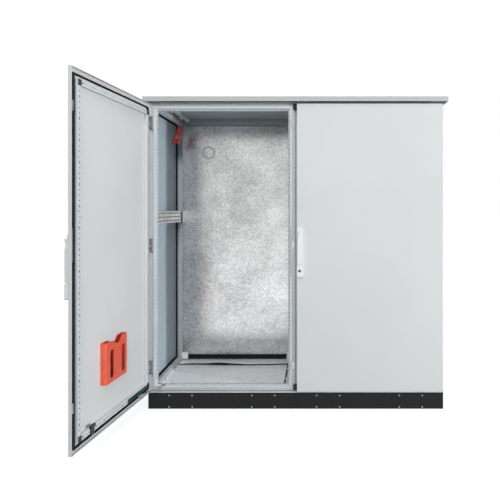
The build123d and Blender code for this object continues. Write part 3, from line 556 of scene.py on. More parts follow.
def make_finishes():
    """Every finish by its name; paints and plastics give roughness, grain, its depth and gloss."""
    tone = colours()
    outside, inside, zinc = tuple(tone.outside), tuple(tone.inside), tuple(tone.zinc)
    rows = (
        (paint_finish, "enclosure_paint", outside, *ENCLOSURE_COAT),
        # Frames: the inside colour, a darker and bluer copy of the outside paint, is painted shade.
        (paint_finish, "frame_paint", inside, 0.5, 700.0, 0.0001),
        (paint_finish, "plinth_paint", tuple(tone.plinth), 0.55, 800.0, 0.0002, 0.12),
        # Canopy: the outside paint darkened to 0.74, standing for the lesser light on the fascia: painted shade.
        (paint_finish, "canopy_paint", shade(outside, 0.74), *ENCLOSURE_COAT),
        # Gland plates: a light painted sheet, brightened to near white so that it stands for the light and sheen
        # on the bay's floor: partly painted light.
        (paint_finish, "gland_sheet", (0.97, 0.99, 1.0), 0.30, 500.0, 0.0001, 0.5),
        # Side panels: the inner face's darker bluish grey is painted shade.
        (panel_finish, "side_panel_paint", outside, (0.515, 0.615, 0.67)),
        # Roof plates, seen from below as the ceiling: a dark bluish grey that stands for the shade there, painted
        # shade.
        (paint_finish, "roof_primer", (0.42, 0.46, 0.48), 0.5, 800.0, 0.0001),
        # Zinc of the clamp and roof bolts, near white and mostly matt so that they show as light dots: bright zinc
        # and partly painted highlight.
        (zinc_finish, "bright_zinc", (0.90, 0.90, 0.89), 0.3),
        (zinc_finish, "dull_zinc", shade(zinc, 0.6)),
        (soft_finish, "plug_teal", (0.02, 0.085, 0.085), 0.4, 900.0, 0.0001),
        (spangle_finish, "galvanised", tuple(tone.sheet_zinc)),
        (zinc_finish, "zinc", zinc),
        (soft_finish, "black_foam", tuple(tone.foam), 0.8, 900.0, 0.0005, 0.2),
        (soft_finish, "black_plastic", (0.016, 0.016, 0.017), 0.5, 1200.0, 0.0001),
        (soft_finish, "white_plastic", (0.90, 0.91, 0.90), 0.45, 1200.0, 0.0001),
        (soft_finish, "orange_plastic", tuple(tone.pocket), 0.34, 1500.0, 0.00006, 0.5),
        (film_finish, "red_film", tuple(tone.pouch)),
        # Handle grey is lighter than the door's paint so that the handle shows the bright patch its gloss makes:
        # partly painted highlight.
        (paint_finish, "handle_grey", (0.80, 0.81, 0.81), 0.36, 900.0, 0.00008),
        (soft_finish, "rail_teal", (0.012, 0.035, 0.038), 0.38, 900.0, 0.0001),
    )
    for make, name, *values in rows:
        FINISHES[name] = make(name, *values)


OWN_FINISHES = {"gland_plates": "gland_sheet", "rain_canopy": "canopy_paint", "left_key_plug": "plug_teal",
                "right_key_plug": "plug_teal", "left_side_panel": "side_panel_paint",
                "right_side_panel": "side_panel_paint", "roof_plates": "roof_primer"}


def node_slots():
    """The material slot of each node, from the record."""
    return {row["node"]: row["material_slot"] for row in frame["record"]["subparts"]}


class CABINET_OT_finishes(bpy.types.Operator):
    """Make the finishes and give each plain node its own"""

    bl_idname = "cabinet.finishes"
    bl_label = "Finishes"

    def execute(self, context):
        make_finishes()
        for node, slot in node_slots().items():
            mesh = frame["nodes"][node].data
            mesh.materials.clear()
            mesh.materials.append(FINISHES[OWN_FINISHES.get(node, slot)])
        return {"FINISHED"}


# Folded sheets and small castings

SOFT_EDGES = {
    "rain_canopy": 0.5, "roof_plates": 0.8, "seam_caps": 1.5, "side_panel": 1.6, "rear_panel": 1.6,
    "plinth_front_panels": 1.6, "plinth_rear_panels": 1.6, "plinth_side_panels": 1.6, "canopy_spacers": 0.8,
    "mounting_plate": 1.0, "plate_brackets": 0.9, "slide_blocks": 1.6, "gland_plates": 1.6, "side_rail": 0.5,
    "frame_hinge_halves": 0.7, "keepers": 0.6, "stay_bracket": 0.5, "door_leaf": 0.4,
    "tube_corner_caps": 1.2, "door_hinge_halves": 0.7, "lock_case": 0.6, "handle_base": 1.4,
    "handle_hub": 0.7, "handle_lever": 2.2, "key_plug": 0.35, "upper_rod": 0.6, "lower_rod": 0.6,
    "door_runner": 2.4, "stay_rail": 0.5, "stay_arm": 0.5,
}


class CABINET_OT_edges(bpy.types.Operator):
    """Round the sharp edges of the plain pieces"""

    bl_idname = "cabinet.edges"
    bl_label = "Edges"

    def execute(self, context):
        for node, item in frame["nodes"].items():
            width = SOFT_EDGES.get(node) or SOFT_EDGES.get(node.partition("_")[2])
            if width:
                soften(item, width, 3 if width > 1 else 2)
        return {"FINISHED"}


# Radius and height along a pan head with its recess, as shares of its own
SCREW_PROFILE = ((1.0, 0.0), (1.0, 0.35), (0.86, 0.75), (0.58, 1.0), (0.42, 1.0), (0.34, 0.55))
WASHER_RADIUS, WASHER_HEIGHT = 1.45, 0.22
BOLT_EASED_RADIUS, BOLT_EASED_HEIGHT = 0.86, 0.9


def add_head(shape, centre, outward, profile, steps):
    """Adds a turned head; outward is the axis and its sign, such as -Y."""
    sign = -1 if outward[0] == "-" else 1
    shape.turned(centre, outward[-1], [(radius, sign * height) for radius, height in profile], steps)


def add_screw(shape, centre, outward, radius, height, steps=14):
    """Adds a pan head with a recess."""
    add_head(shape, centre, outward, [(radius * wide, height * high) for wide, high in SCREW_PROFILE], steps)


def add_bolt(shape, centre, outward, radius, height):
    """Adds a washer and a hexagon head with an eased top."""
    washer = height * WASHER_HEIGHT
    rim = radius * WASHER_RADIUS
    add_head(shape, centre, outward, [(rim, 0), (rim, washer)], 20)
    add_head(shape, centre, outward, [(radius, washer), (radius, height * BOLT_EASED_HEIGHT),
                                      (radius * BOLT_EASED_RADIUS, height)], 6)


BAY_MIDDLE = 450.0
PLINTH_SCREW = (5.6, 3.0)
PLINTH_SCREW_SPREAD = (182.0, 322.0)
PLINTH_SCREW_HEIGHTS = (12.0, 82.0)
HINGE_LENGTH = 79.0
HINGE_MIDDLE = 997.0
HINGE_SCREW = (4.2, 2.2)
HINGE_SCREW_REACH = 25.0
HINGE_SCREW_X = HINGE_X - 8.5
HINGE_SCREW_Y = LEFT_HINGE[1] - 4.5


class CABINET_OT_screws(bpy.types.Operator):
    """Put the plinth's screws and the hinges' screws in"""

    bl_idname = "cabinet.screws"
    bl_label = "Screws"

    def execute(self, context):
        shape = Shape()
        faces = (("-Y", span("plinth_front_panels", 1)[0]), ("+Y", span("plinth_rear_panels", 1)[1]))
        for outward, y in faces:
            for middle in (-BAY_MIDDLE, BAY_MIDDLE):
                for spread in PLINTH_SCREW_SPREAD:
                    for x in (middle - spread, middle + spread):
                        for z in PLINTH_SCREW_HEIGHTS:
                            add_screw(shape, (x, y, z), outward, *PLINTH_SCREW)
        make_piece("plinth_screw_heads", shape, "cabinet", "zinc", finish="dull_zinc", smooth=50.0,
                   replaces=("plinth_screws",))
        low, high = span("frame_hinge_halves", 2)
        shape = Shape()
        for height in (low + HINGE_LENGTH / 2, HINGE_MIDDLE, high - HINGE_LENGTH / 2):
            for z in (height - HINGE_SCREW_REACH, height + HINGE_SCREW_REACH):
                for x in (-HINGE_SCREW_X, HINGE_SCREW_X):
                    add_screw(shape, (x, HINGE_SCREW_Y, z), "-Y", *HINGE_SCREW, 12)
        make_piece("hinge_screws", shape, "cabinet", "zinc", smooth=50.0)
        return {"FINISHED"}


# Frames

# Corners of the frame's folded section: inset from the frame's side, depth from its face
SECTION = [(8, 8), (22, 8), (22, 0), (34, 0), (34, 14), (44, 14), (44, 36), (36, 44), (14, 44), (14, 34),
           (0, 34), (0, 22), (8, 22)]
SECTION_SIZE = 44
FLANGE_INSET, FLANGE_DEPTH = 34, 14
PAD_WIDTH = 50
PAD_DEPTHS = (22, 44)
# The head rail is deeper than the others: pairs of their inset and its own
HEAD_INSETS = ((0, 0), (8, 8), (22, 24), (34, 40), (44, 50))


def head_inset(inset):
    """The head rail's inset for the same point of the section."""
    for (low, low_head), (high, high_head) in zip(HEAD_INSETS, HEAD_INSETS[1:]):
        if inset <= high:
            return low_head + (inset - low) * (high_head - low_head) / (high - low)
    return HEAD_INSETS[-1][1]


def frame_loop(inset, depth):
    """Four corners of the frame at an inset from its sides and a depth."""
    return upright_loop((FRAME_X[0] + inset, FRAME_X[1] - inset),
                        (FRAME_Z[0] + inset, FRAME_Z[1] - head_inset(inset)), depth)


def punched_frame(depth, direction):
    """A welded frame whose flange and flank are punched all round."""
    shape = Shape()
    section = folded(SECTION)
    rings = [frame_loop(u, depth + direction * v) for u, v in section]
    for (u, v), (next_u, next_v), ring, other in zip(section, onward(section), rings, onward(rings)):
        inward = None
        if lies_at(FLANGE_DEPTH, v, next_v) and FLANGE_INSET < u < next_u:
            inward = [(0, direction, 0)] * 4
        elif lies_at(SECTION_SIZE, u, next_u) and next_v > v:
            inward = [(0, 0, -1), (1, 0, 0), (0, 0, 1), (-1, 0, 0)]
        add_members(shape, ring, other, inward, False)
    return shape


def punched_depth_rails():
    """Four rails between the frames, each punched on its two inner faces."""
    shape = Shape()
    section = folded(SECTION)
    front, rear = FRAME_FRONT + SECTION_SIZE, FRAME_REAR - SECTION_SIZE
    for corner_x, across in ((FRAME_X[0], 1), (FRAME_X[1], -1)):
        for corner_z, up in ((FRAME_Z[0], 1), (FRAME_Z[1], -1)):
            for (u, w), (next_u, next_w) in zip(section, onward(section)):
                outer, inner = ([(corner_x + across * i, y, corner_z + up * j) for y in (front, rear)]
                                for i, j in ((u, w), (next_u, next_w)))
                if lies_at(SECTION_SIZE, u, next_u):
                    punched_side(shape, outer, inner, (-across, 0, 0))
                elif lies_at(SECTION_SIZE, w, next_w) and FLANGE_DEPTH < next_u < u:
                    punched_side(shape, outer, inner, (0, 0, -up))
                else:
                    shape.quad(*outer, *reversed(inner))
    return shape


def add_pads(shape, depth, direction):
    """Levelling pads under the corners of a frame."""
    for x in (FRAME_X[0], FRAME_X[1] - PAD_WIDTH):
        ends = sorted(depth + direction * end for end in PAD_DEPTHS)
        shape.block((x, x + PAD_WIDTH), ends, (PLINTH_TOP, FRAME_Z[0]))


class CABINET_OT_frames(bpy.types.Operator):
    """Build the punched frames and depth rails of both bays"""

    bl_idname = "cabinet.frames"
    bl_label = "Frames"

    def execute(self, context):
        for side, place in BAYS:
            for which, depth, direction in (("front", FRAME_FRONT, 1), ("rear", FRAME_REAR, -1)):
                shape = punched_frame(depth, direction)
                add_pads(shape, depth, direction)
                make_piece(f"{side}_{which}_frame_punched", shape, "cabinet", "frame_paint", place,
                           replaces=(f"{side}_{which}_frame",))
            rails = make_piece(f"{side}_depth_rails_punched", punched_depth_rails(), "cabinet", "frame_paint",
                               place)
            if side == "right":
                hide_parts("depth_rails")
        return {"FINISHED"}


# Doors

DOOR_PLACES = (("left", to_left_door), ("right", as_drawn))
TUBE_WIDTH = 25.0
TUBE_DEPTH = 20
# The seal's width on the lock side, on the hinge side, and at the top and foot. The lock side is wider than the
# real bead, so that its black also stands for the shade on the tube's side: partly painted shade.
SEAL_WIDTHS = (26.0, 10.0, 8.0)
SEAL_CORNER = 14.0
SEAL_LEAST_CORNER = 2.0
SEAL_CORNER_SHARE = 0.6
SEAL_CORNER_STEPS = 8
# Place across the seal and height over it, as shares of its width and height
SEAL_PROFILE = ((0, 0.0), (0.0, 0.55), (0.10, 0.8), (0.26, 0.95), (0.5, 1.0), (0.74, 0.95), (0.90, 0.8),
                (1.0, 0.55), (1.0, 0.0))
LOCK_CASE_HALF = 27.0
LOCK_CASE_DEPTH = 6.5
LOCK_CASE_GAP = 0.2
RAMP_START, RAMP_END = 1.5, 1.0


def punched_door_tubes():
    """The door's tube frame with its face punched all round."""
    shape = Shape()
    section = folded([(0, 0), (0, TUBE_DEPTH), (TUBE_WIDTH, TUBE_DEPTH), (TUBE_WIDTH, 0)])
    rings = [upright_loop((TUBE_X[0] + u, TUBE_X[1] - u), (TUBE_Z[0] + u, TUBE_Z[1] - u), TUBE_Y[0] + v)
             for u, v in section]
    for (u, v), (next_u, next_v), ring, other in zip(section, onward(section), rings, onward(rings)):
        is_face = lies_at(TUBE_DEPTH, v, next_v) and next_u > u
        add_members(shape, ring, other, [(0, -1, 0)] * 4 if is_face else None)
    return shape


def seal_loop(inset, depth):
    """A rounded loop of the seal at an inset from its outer edge, lifted over the lock case.

    The inset is that of the lock side; the other sides are narrower by SEAL_WIDTHS.
    """
    hinge_inset, level_inset = (inset * width / SEAL_WIDTHS[0] for width in SEAL_WIDTHS[1:])
    outline = rounded_outline((SEAL_X[0] + inset, SEAL_X[1] - hinge_inset),
                              (SEAL_Z[0] + level_inset, SEAL_Z[1] - level_inset),
                              max(SEAL_CORNER - level_inset * SEAL_CORNER_SHARE, SEAL_LEAST_CORNER),
                              SEAL_CORNER_STEPS)
    loop = [(x, depth, z) for x, z in outline]
    lifted = max(depth, SEAL_Y[0] + LOCK_CASE_DEPTH + LOCK_CASE_GAP)
    top, foot = PIVOT_Z + LOCK_CASE_HALF, PIVOT_Z - LOCK_CASE_HALF
    x = SEAL_X[0] + inset
    over = [(x, depth, top + RAMP_START), (x, lifted, top + RAMP_END), (x, lifted, foot - RAMP_END),
            (x, depth, foot - RAMP_START)]
    corner_end = 2 * (SEAL_CORNER_STEPS + 1)
    return loop[:corner_end] + over + loop[corner_end:]


def seal_bead():
    """Foamed seal: flat foot, domed top, rounded corners."""
    shape = Shape()
    foot, top = SEAL_Y
    shape.loops([seal_loop(share * SEAL_WIDTHS[0], foot + rise * (top - foot))
                 for share, rise in SEAL_PROFILE])
    return shape


class CABINET_OT_doors(bpy.types.Operator):
    """Build the doors' punched tubes and foam seals"""

    bl_idname = "cabinet.doors"
    bl_label = "Doors"

    def execute(self, context):
        for side, place in DOOR_PLACES:
            body = f"{side}_door"
            make_piece(f"{side}_door_tubes_punched", punched_door_tubes(), body, "frame_paint", place,
                       replaces=(f"{side}_door_tube_frame",))
            make_piece(f"{side}_seal_bead", seal_bead(), body, "black_foam", place, smooth=50.0,
                       replaces=(f"{side}_door_seal",))
        return {"FINISHED"}


# Document pocket, measured from the hinge line and from the ground

POCKET_ENDS = (350.0, 590.0)
POCKET_Z = (334.0, 550.0)
POCKET_DEPTH = 30.0
POCKET_WALL = 3.0
POCKET_BACK = 2.0
POCKET_BACK_DROP = 1.0
POCKET_CORNER = 11.0
POCKET_SLOTS = (397.0, 525.0)
POCKET_SLOT_Z = (354.0, 500.0)
POCKET_SLOT_HALF = 19.0
POCKET_DIP = (404.0, 452.0, 466.0, 524.0)
POCKET_DIP_DEPTH = 30.0
POCKET_LOW_SHOULDER = 6.0
POCKET_FACE_STEPS = 40
POCKET_BACK_STEPS = 48
ARC_STEP = 15


def eased_step(value, low, high):
    """A smooth rise from 0 to 1 between two values."""
    share = min(1.0, max(0.0, (value - low) / (high - low)))
    return share * share * (3 - 2 * share)


def pocket_top(away):
    """Height of the pocket's edge at a distance from the hinge line."""
    down = eased_step(away, *POCKET_DIP[:2])
    up = eased_step(away, *POCKET_DIP[2:])
    return POCKET_Z[1] - POCKET_DIP_DEPTH * down + (POCKET_DIP_DEPTH - POCKET_LOW_SHOULDER) * up


def pocket_bands(away, middle):
    """The wall's pairs of low and high heights at a distance, for the column whose middle is given."""
    low, high = POCKET_Z[0], pocket_top(away)
    for slot in POCKET_SLOTS:
        if abs(middle - slot) < POCKET_SLOT_HALF:
            reach = min(POCKET_SLOT_HALF, abs(away - slot))
            round_end = POCKET_SLOT_HALF - math.sqrt(POCKET_SLOT_HALF ** 2 - reach ** 2)
            return [(low, POCKET_SLOT_Z[0] + round_end), (POCKET_SLOT_Z[1] - round_end, high)]
    return [(low, high)]


def pocket_corner(end, face, sign, angles):
    """Points of the wall's round corner at one end, each with its outward direction."""
    points = []
    for angle in angles:
        across, out = math.cos(angle), math.sin(angle)
        points.append((end - sign * POCKET_CORNER * (1 - across), face - POCKET_CORNER * (1 - out),
                       sign * across, out))
    return points


def pocket_path(back):
    """Points of the pocket's wall seen from above, each with its outward direction."""
    face = back + POCKET_DEPTH
    near, far = (HINGE_X - away for away in POCKET_ENDS)
    arc = [math.radians(ARC_STEP * step) for step in range(7)]
    places = [near + (far - near) * step / POCKET_FACE_STEPS for step in range(3, POCKET_FACE_STEPS - 2)]
    for slot in POCKET_SLOTS:
        places = [x for x in places if abs(HINGE_X - x - slot) > POCKET_SLOT_HALF]
        places += [HINGE_X - slot + POCKET_SLOT_HALF * math.sin(math.radians(ARC_STEP * step))
                   for step in range(-6, 7)]
    path = [(near, back, 1.0, 0.0), *pocket_corner(near, face, 1, arc)]
    path += [(x, face, 0.0, 1.0) for x in sorted(places, reverse=True)]
    return path + [*pocket_corner(far, face, -1, reversed(arc)), (far, back, -1.0, 0.0)]


def upright_quad(outer, inner, low, high):
    """Four corners between two places in plan and two heights."""
    return [(*outer, low), (*outer, high), (*inner, high), (*inner, low)]


def pocket_shape():
    """Moulded pocket: rounded wall with two slots and a dipped edge, a floor and a dipped back."""
    shape = Shape()
    back = LEAF_INNER
    path = pocket_path(back)
    walls = [((x, y), (x - nx * POCKET_WALL, y - ny * POCKET_WALL)) for x, y, nx, ny in path]
    bands_before = None
    for here, there, wall, next_wall in zip(path, path[1:], walls, walls[1:]):
        aways = [HINGE_X - here[0], HINGE_X - there[0]]
        first, second = (pocket_bands(away, sum(aways) / 2) for away in aways)
        for band, next_band in zip(first, second):
            shape.loops([upright_quad(*wall, *band), upright_quad(*next_wall, *next_band)], closed=False)
        if bands_before is not None and len(bands_before) != len(first):
            both = first if len(first) == 2 else bands_before
            shape.quad(*upright_quad(*wall, both[0][1], both[1][0]))
        bands_before = second
    shape.add([(x, y, POCKET_Z[0]) for x, y, _, _ in path], [tuple(range(len(path)))])
    shape.add([(*inner, POCKET_Z[0] + POCKET_WALL) for _, inner in walls], [tuple(range(len(path)))])
    rings = []
    for step in range(POCKET_BACK_STEPS + 1):
        away = POCKET_ENDS[0] + (POCKET_ENDS[1] - POCKET_ENDS[0]) * step / POCKET_BACK_STEPS
        x, top = HINGE_X - away, pocket_top(away) - POCKET_BACK_DROP
        rings.append(upright_quad((x, back), (x, back + POCKET_BACK), POCKET_Z[0], top))
    shape.loops(rings, closed=False)
    return shape


class CABINET_OT_pocket(bpy.types.Operator):
    """Build the left door's document pocket"""

    bl_idname = "cabinet.pocket"
    bl_label = "Document pocket"

    def execute(self, context):
        make_piece("document_pocket_moulded", pocket_shape(), "left_door", "orange_plastic", to_left_door,
                   bevel=0.7, smooth=28.0, replaces=("document_pocket",))
        return {"FINISHED"}


# Inside

STRIP_SIDES = 10
# The wavy bead: its ends in from the plate's, its depth, its waves as reach, turns and start, and its swell
BEAD_ENDS = (14, 3)
BEAD_Y = 135.0
BEAD_SINK = 0.4
BEAD_WAVES = ((9, 5.2, 2.6), (1.5, 31, 0))
BEAD_SIZE = 9.0
BEAD_STEPS = 60
BEAD_SWELL = 8.0
BEAD_SWELL_PLACE, BEAD_SWELL_REACH = 0.62, 0.13
# The loose strip at the side: where it starts beside the seam and before the plate, and its length
SIDE_BEAD_X = 66
SIDE_BEAD_START = 12
SIDE_BEAD_LENGTH = 520
SIDE_BEAD_STEPS = 40
SIDE_BEAD_SIZE = (9.0, 7.0)


def strip_along(rows):
    """A flat strip with rounded edges over the floor; each row is a point, a width and a height."""
    shape = Shape()
    rings = []
    points = [Vector(point) for point, _, _ in rows]
    for index, (_, width, height) in enumerate(rows):
        along = points[min(index + 1, len(rows) - 1)] - points[max(index - 1, 0)]
        across = Vector((-along[1], along[0], 0)).normalized()
        ring = []
        for step in range(STRIP_SIDES):
            angle = 2 * math.pi * step / STRIP_SIDES
            up = Vector((0, 0, height / 2 * (1 + math.sin(angle))))
            ring.append(points[index] + across * (width / 2 * math.cos(angle)) + up)
        rings.append(ring)
    shape.capped(rings)
    return shape


def gland_bead():
    """Loose wavy foam bead on the gland plates, thicker where it bulges."""
    low, high = PLATE_X[0] + BEAD_ENDS[0], PLATE_X[1] - BEAD_ENDS[1]
    rows = []
    for index in range(BEAD_STEPS + 1):
        share = index / BEAD_STEPS
        swell = math.exp(-((share - BEAD_SWELL_PLACE) / BEAD_SWELL_REACH) ** 2)
        y = sum((reach * math.sin(turns * share + start) for reach, turns, start in BEAD_WAVES), BEAD_Y)
        size = BEAD_SIZE + BEAD_SWELL * swell
        place = (low + (high - low) * share, y, GLAND_TOP - BEAD_SINK)
        rows.append((place, size + 1.2 * math.sin(23 * share), size - 3.5 * eased_step(share, 0.88, 1.0)))
    return strip_along(rows)


def side_bead():
    """Thin foam strip that has come loose beside the seam and curves over the floor."""
    rows = []
    for index in range(SIDE_BEAD_STEPS + 1):
        share = index / SIDE_BEAD_STEPS
        x = SIDE_BEAD_X + 7 * math.sin(3.1 * share) + 9 * max(0.0, share - 0.55) ** 2 * 4
        y = PLATE_Y[0] - SIDE_BEAD_START - share * SIDE_BEAD_LENGTH
        rows.append(((x, y, GLAND_TOP - 0.3 + 3 * (1 - share) ** 3), *SIDE_BEAD_SIZE))
    return strip_along(rows)


# The red pouch's ends across and its height, at its mouth and at its foot, and the tie that it hangs by
POUCH_MOUTH, POUCH_MOUTH_Z = (-833, -795), 1779.0
POUCH_FOOT, POUCH_FOOT_Z = (-873, -812), 1672.0
POUCH_COLUMNS, POUCH_ROWS = 14, 18
TIE_X = (-813.6, -810.4)
FITTING_FOOT = 1840.0


def crumpled_film():
    """Small crumpled film pouch, drawn with its mouth gathered at the tie."""
    shape = Shape()
    middle_y = sum(span("red_pouch", 1)) / 2
    row_length = POUCH_COLUMNS + 1
    for side in (-1, 1):
        points = []
        for row in range(POUCH_ROWS + 1):
            fall = row / POUCH_ROWS
            left, right = (mouth + (foot - mouth) * fall for mouth, foot in zip(POUCH_MOUTH, POUCH_FOOT))
            for column in range(row_length):
                share = column / POUCH_COLUMNS
                edge = math.sin(math.pi * share) ** 0.6
                fold = 2.6 * math.sin(9 * share + 5 * fall) + 1.8 * math.sin(17 * share - 9 * fall + side)
                fold += 1.2 * math.cos(23 * fall + 7 * share)
                x = left + (right - left) * share + 1.5 * math.sin(14 * fall)
                z = POUCH_MOUTH_Z + (POUCH_FOOT_Z - POUCH_MOUTH_Z) * fall + 3 * math.sin(6 * share)
                points.append((x, middle_y + edge * (side * 1.4 + fold), z))
        corners = [row * row_length + column for row in range(POUCH_ROWS) for column in range(POUCH_COLUMNS)]
        shape.add(points, [(i, i + 1, i + row_length + 1, i + row_length) for i in corners])
    left, right = POUCH_MOUTH
    lip = [(left + (right - left) * share, middle_y, POUCH_MOUTH_Z) for share in (0, 0.5, 1)]
    knot = (sum(TIE_X) / 2, middle_y, POUCH_MOUTH_Z + 14)
    for first, second in zip(lip, lip[1:]):
        shape.add([first, second, knot], [(0, 1, 2)])
    shape.block(TIE_X, (middle_y - 1, middle_y + 1), (POUCH_MOUTH_Z + 10, FITTING_FOOT + 6))
    return shape


ROOF_STRIP_X = (-818.0, -786.0)
ROOF_STRIP_FOLD = 8
ROOF_STRIP_TOP, ROOF_STRIP_EDGE, ROOF_STRIP_FOOT = (FRAME_Z[1] - drop for drop in (0.3, 12, 16))
ROOF_STRIP_END = 52
FITTINGS_Y = (-180.0, 75.0, 215.0)
BOLT_END = ((4.5, -10.0), (4.5, -17.0), (3.6, -18.0))
CLAMPS_Y = (-190.0, 27.0)
CLAMPS_INSET = 21
ROOF_BOLT = (9.0, 12.0)
CLAMP_BOLT = (9.0, 9.0)
PLATE_FOOT_INSETS = (48, 34)
PLATE_FOOT_DEPTHS = (3, 13)
FOOT_STRIP_DEPTHS = (1, 21.5)
JOINT_PLATE_HALF = 22
JOINT_PLATE_DEPTHS = (3.4, 6.4)


def roof_strips():
    """A folded stiffener under the roof plate along the left depth rail."""
    shape = Shape()
    low, high = ROOF_STRIP_X
    outline = [(low, ROOF_STRIP_TOP), (low, ROOF_STRIP_EDGE), (low + ROOF_STRIP_FOLD, ROOF_STRIP_FOOT),
               (high - ROOF_STRIP_FOLD, ROOF_STRIP_FOOT), (high, ROOF_STRIP_EDGE), (high, ROOF_STRIP_TOP)]
    shape.prism(outline, FRAME_FRONT + ROOF_STRIP_END, FRAME_REAR - ROOF_STRIP_END, "Y")
    return shape


def roof_fittings():
    """Bolts of the lifting eyes with their nuts under the roof."""
    shape = Shape()
    for y in FITTINGS_Y:
        place = (sum(ROOF_STRIP_X) / 2, y, ROOF_STRIP_FOOT)
        add_bolt(shape, place, "-Z", *ROOF_BOLT)
        shape.turned(place, "Z", BOLT_END, 12)
    return shape


def one_block(x, y, z):
    """A shape of one block."""
    shape = Shape()
    shape.block(x, y, z)
    return shape


def plate_foot_painted_shade():
    """Black block under the mounting plate's foot, between its slide blocks: painted shade for the dark gap there.
    """
    return one_block((PLATE_X[0] + PLATE_FOOT_INSETS[0], PLATE_X[1] - PLATE_FOOT_INSETS[1]),
                     [PLATE_Y[0] + depth for depth in PLATE_FOOT_DEPTHS], (GLAND_TOP + 4, PLATE_Z[0] - 0.4))


def clamp_heads():
    """Bright bolts that clamp the gland plates along both sides."""
    shape = Shape()
    for x in (PLATE_X[0] + CLAMPS_INSET, PLATE_X[1] - CLAMPS_INSET):
        for y in CLAMPS_Y:
            add_bolt(shape, (x, y, GLAND_TOP), "+Z", *CLAMP_BOLT)
    return shape


def foot_strip():
    """Painted strip between the front frame's foot and the plinth."""
    return one_block(FRAME_X, [FRAME_FRONT + depth for depth in FOOT_STRIP_DEPTHS],
                     (PLINTH_TOP, FRAME_Z[0] + 0.2))


def plinth_joint():
    """Plate behind the joint of the plinth's panels."""
    front = span("plinth_front_panels", 1)[0]
    return one_block((-JOINT_PLATE_HALF, JOINT_PLATE_HALF), [front + depth for depth in JOINT_PLATE_DEPTHS],
                     (2, PLINTH_TOP - 4))


class CABINET_OT_inside(bpy.types.Operator):
    """Build the beads, strips and bolts of the floor and roof, the plinth's joint and the red pouch"""

    bl_idname = "cabinet.inside"
    bl_label = "Inside"

    def execute(self, context):
        for side, place in BAYS:
            bead = make_piece(f"{side}_gland_bead", gland_bead(), "cabinet", "black_foam", place, smooth=60.0)
            if side == "right":
                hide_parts("gland_foam")
            make_piece(f"{side}_side_bead", side_bead(), "cabinet", "black_foam", place, smooth=60.0)
            # A black block fills the gap under the mounting plate: painted shade.
            make_piece(f"{side}_plate_foot_painted_shade", plate_foot_painted_shade(), "cabinet", "black_foam", place,
                       bevel=1.0)
            make_piece(f"{side}_foot_strip", foot_strip(), "cabinet", "enclosure_paint", place, bevel=0.6)
            clamps = make_piece(f"{side}_clamp_heads", clamp_heads(), "cabinet", "zinc", place, "bright_zinc",
                                bevel=0.5)
            if side == "right":
                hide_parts("clamp_screws")
        for side, place in (("left", as_drawn), ("right", to_left_bay)):
            make_piece(f"{side}_roof_strip", roof_strips(), "cabinet", "frame_paint", place, bevel=0.8)
            make_piece(f"{side}_roof_fittings", roof_fittings(), "cabinet", "zinc", place, "bright_zinc",
                       bevel=0.4)
        make_piece("plinth_joint_plate", plinth_joint(), "cabinet", "plinth_paint")
        make_piece("red_pouch_film", crumpled_film(), "cabinet", "red_film", smooth=35.0,
                   replaces=("red_pouch",))
        return {"FINISHED"}


# Stage

CAMERA_PLACE = (0.130, -3.640, 1.2106)
CAMERA_LENS = 38.82
CAMERA_SHIFT = (-0.134, -0.0792)
FLOOR_SIZE = 60.0
FLOOR_COLOUR = (0.36, 0.37, 0.38, 1)
# The floor's glow near the part and far from it, and those distances
FLOOR_GLOW = (0.80, 1.0, 1.2, 3.6)
SKY_COLOUR = (0.72, 0.90, 1.0, 1)
SKY_STRENGTH = 0.16
# Name, place, aim, width and height in metres, and watts
LAMPS = (
    ("narrow_key", (6.0, -3.1, 1.2), (-0.8, -0.3, 1.0), (0.5, 2.2), 255.0),
    ("side_soft", (6.5, -0.9, 1.4), (-0.9, -0.8, 1.0), (2.4, 2.4), 64.0),
    ("front_fill", (-0.9, -7.5, 1.7), (0, 0, 0.9), (3.5, 3.0), 18.0),
    ("front_top", (-0.3, -3.2, 5.0), (-0.2, -0.2, 0.7), (1.6, 1.0), 24.0),
    ("front_far", (0.2, -7.0, 4.4), (-0.2, -0.2, 0.5), (2.4, 1.0), 252.0),
    ("back_soft", (0.6, 6.5, 3.4), (0, 0.3, 1.0), (3.0, 2.0), 260.0),
    ("left_soft", (-6.5, 2.5, 3.0), (-0.9, 0.2, 1.0), (2.0, 2.0), 70.0),
    ("top_soft", (-0.2, 1.8, 6.0), (0, 0.1, 1.9), (2.0, 2.0), 120.0),
)


def when_seen(tree, otherwise, seen):
    """One shader where a ray comes from the camera or a mirror, and another for all other rays."""
    path = add_node(tree, "LightPath", {})
    share = math_node(tree, "MAXIMUM", path.outputs["Is Camera Ray"], path.outputs["Is Glossy Ray"])
    return add_node(tree, "MixShader", {"Fac": share, 1: otherwise, 2: seen}).outputs["Shader"]


def stage_floor():
    """A large pale floor that shows white and keeps a soft shadow."""
    bpy.ops.mesh.primitive_plane_add(size=FLOOR_SIZE, location=(0, 0, 0))
    floor = bpy.context.object
    floor.name = "floor"
    material, tree, shader, place = new_finish("floor_white")
    set_inputs(tree, shader, {"Base Color": FLOOR_COLOUR, "Roughness": 0.9, "Specular IOR Level": 0.0})
    reach = add_node(tree, "VectorMath", {0: place}, "LENGTH").outputs["Value"]
    glow = add_node(tree, "Emission", {"Strength": ranged(tree, reach, *FLOOR_GLOW)})
    nothing = add_node(tree, "Emission", {"Strength": 0.0})
    seen = when_seen(tree, nothing.outputs["Emission"], glow.outputs["Emission"])
    both = add_node(tree, "AddShader", {0: shader.outputs["BSDF"], 1: seen})
    tree.links.new(both.outputs["Shader"], tree.nodes["Material Output"].inputs["Surface"])
    floor.data.materials.append(material)


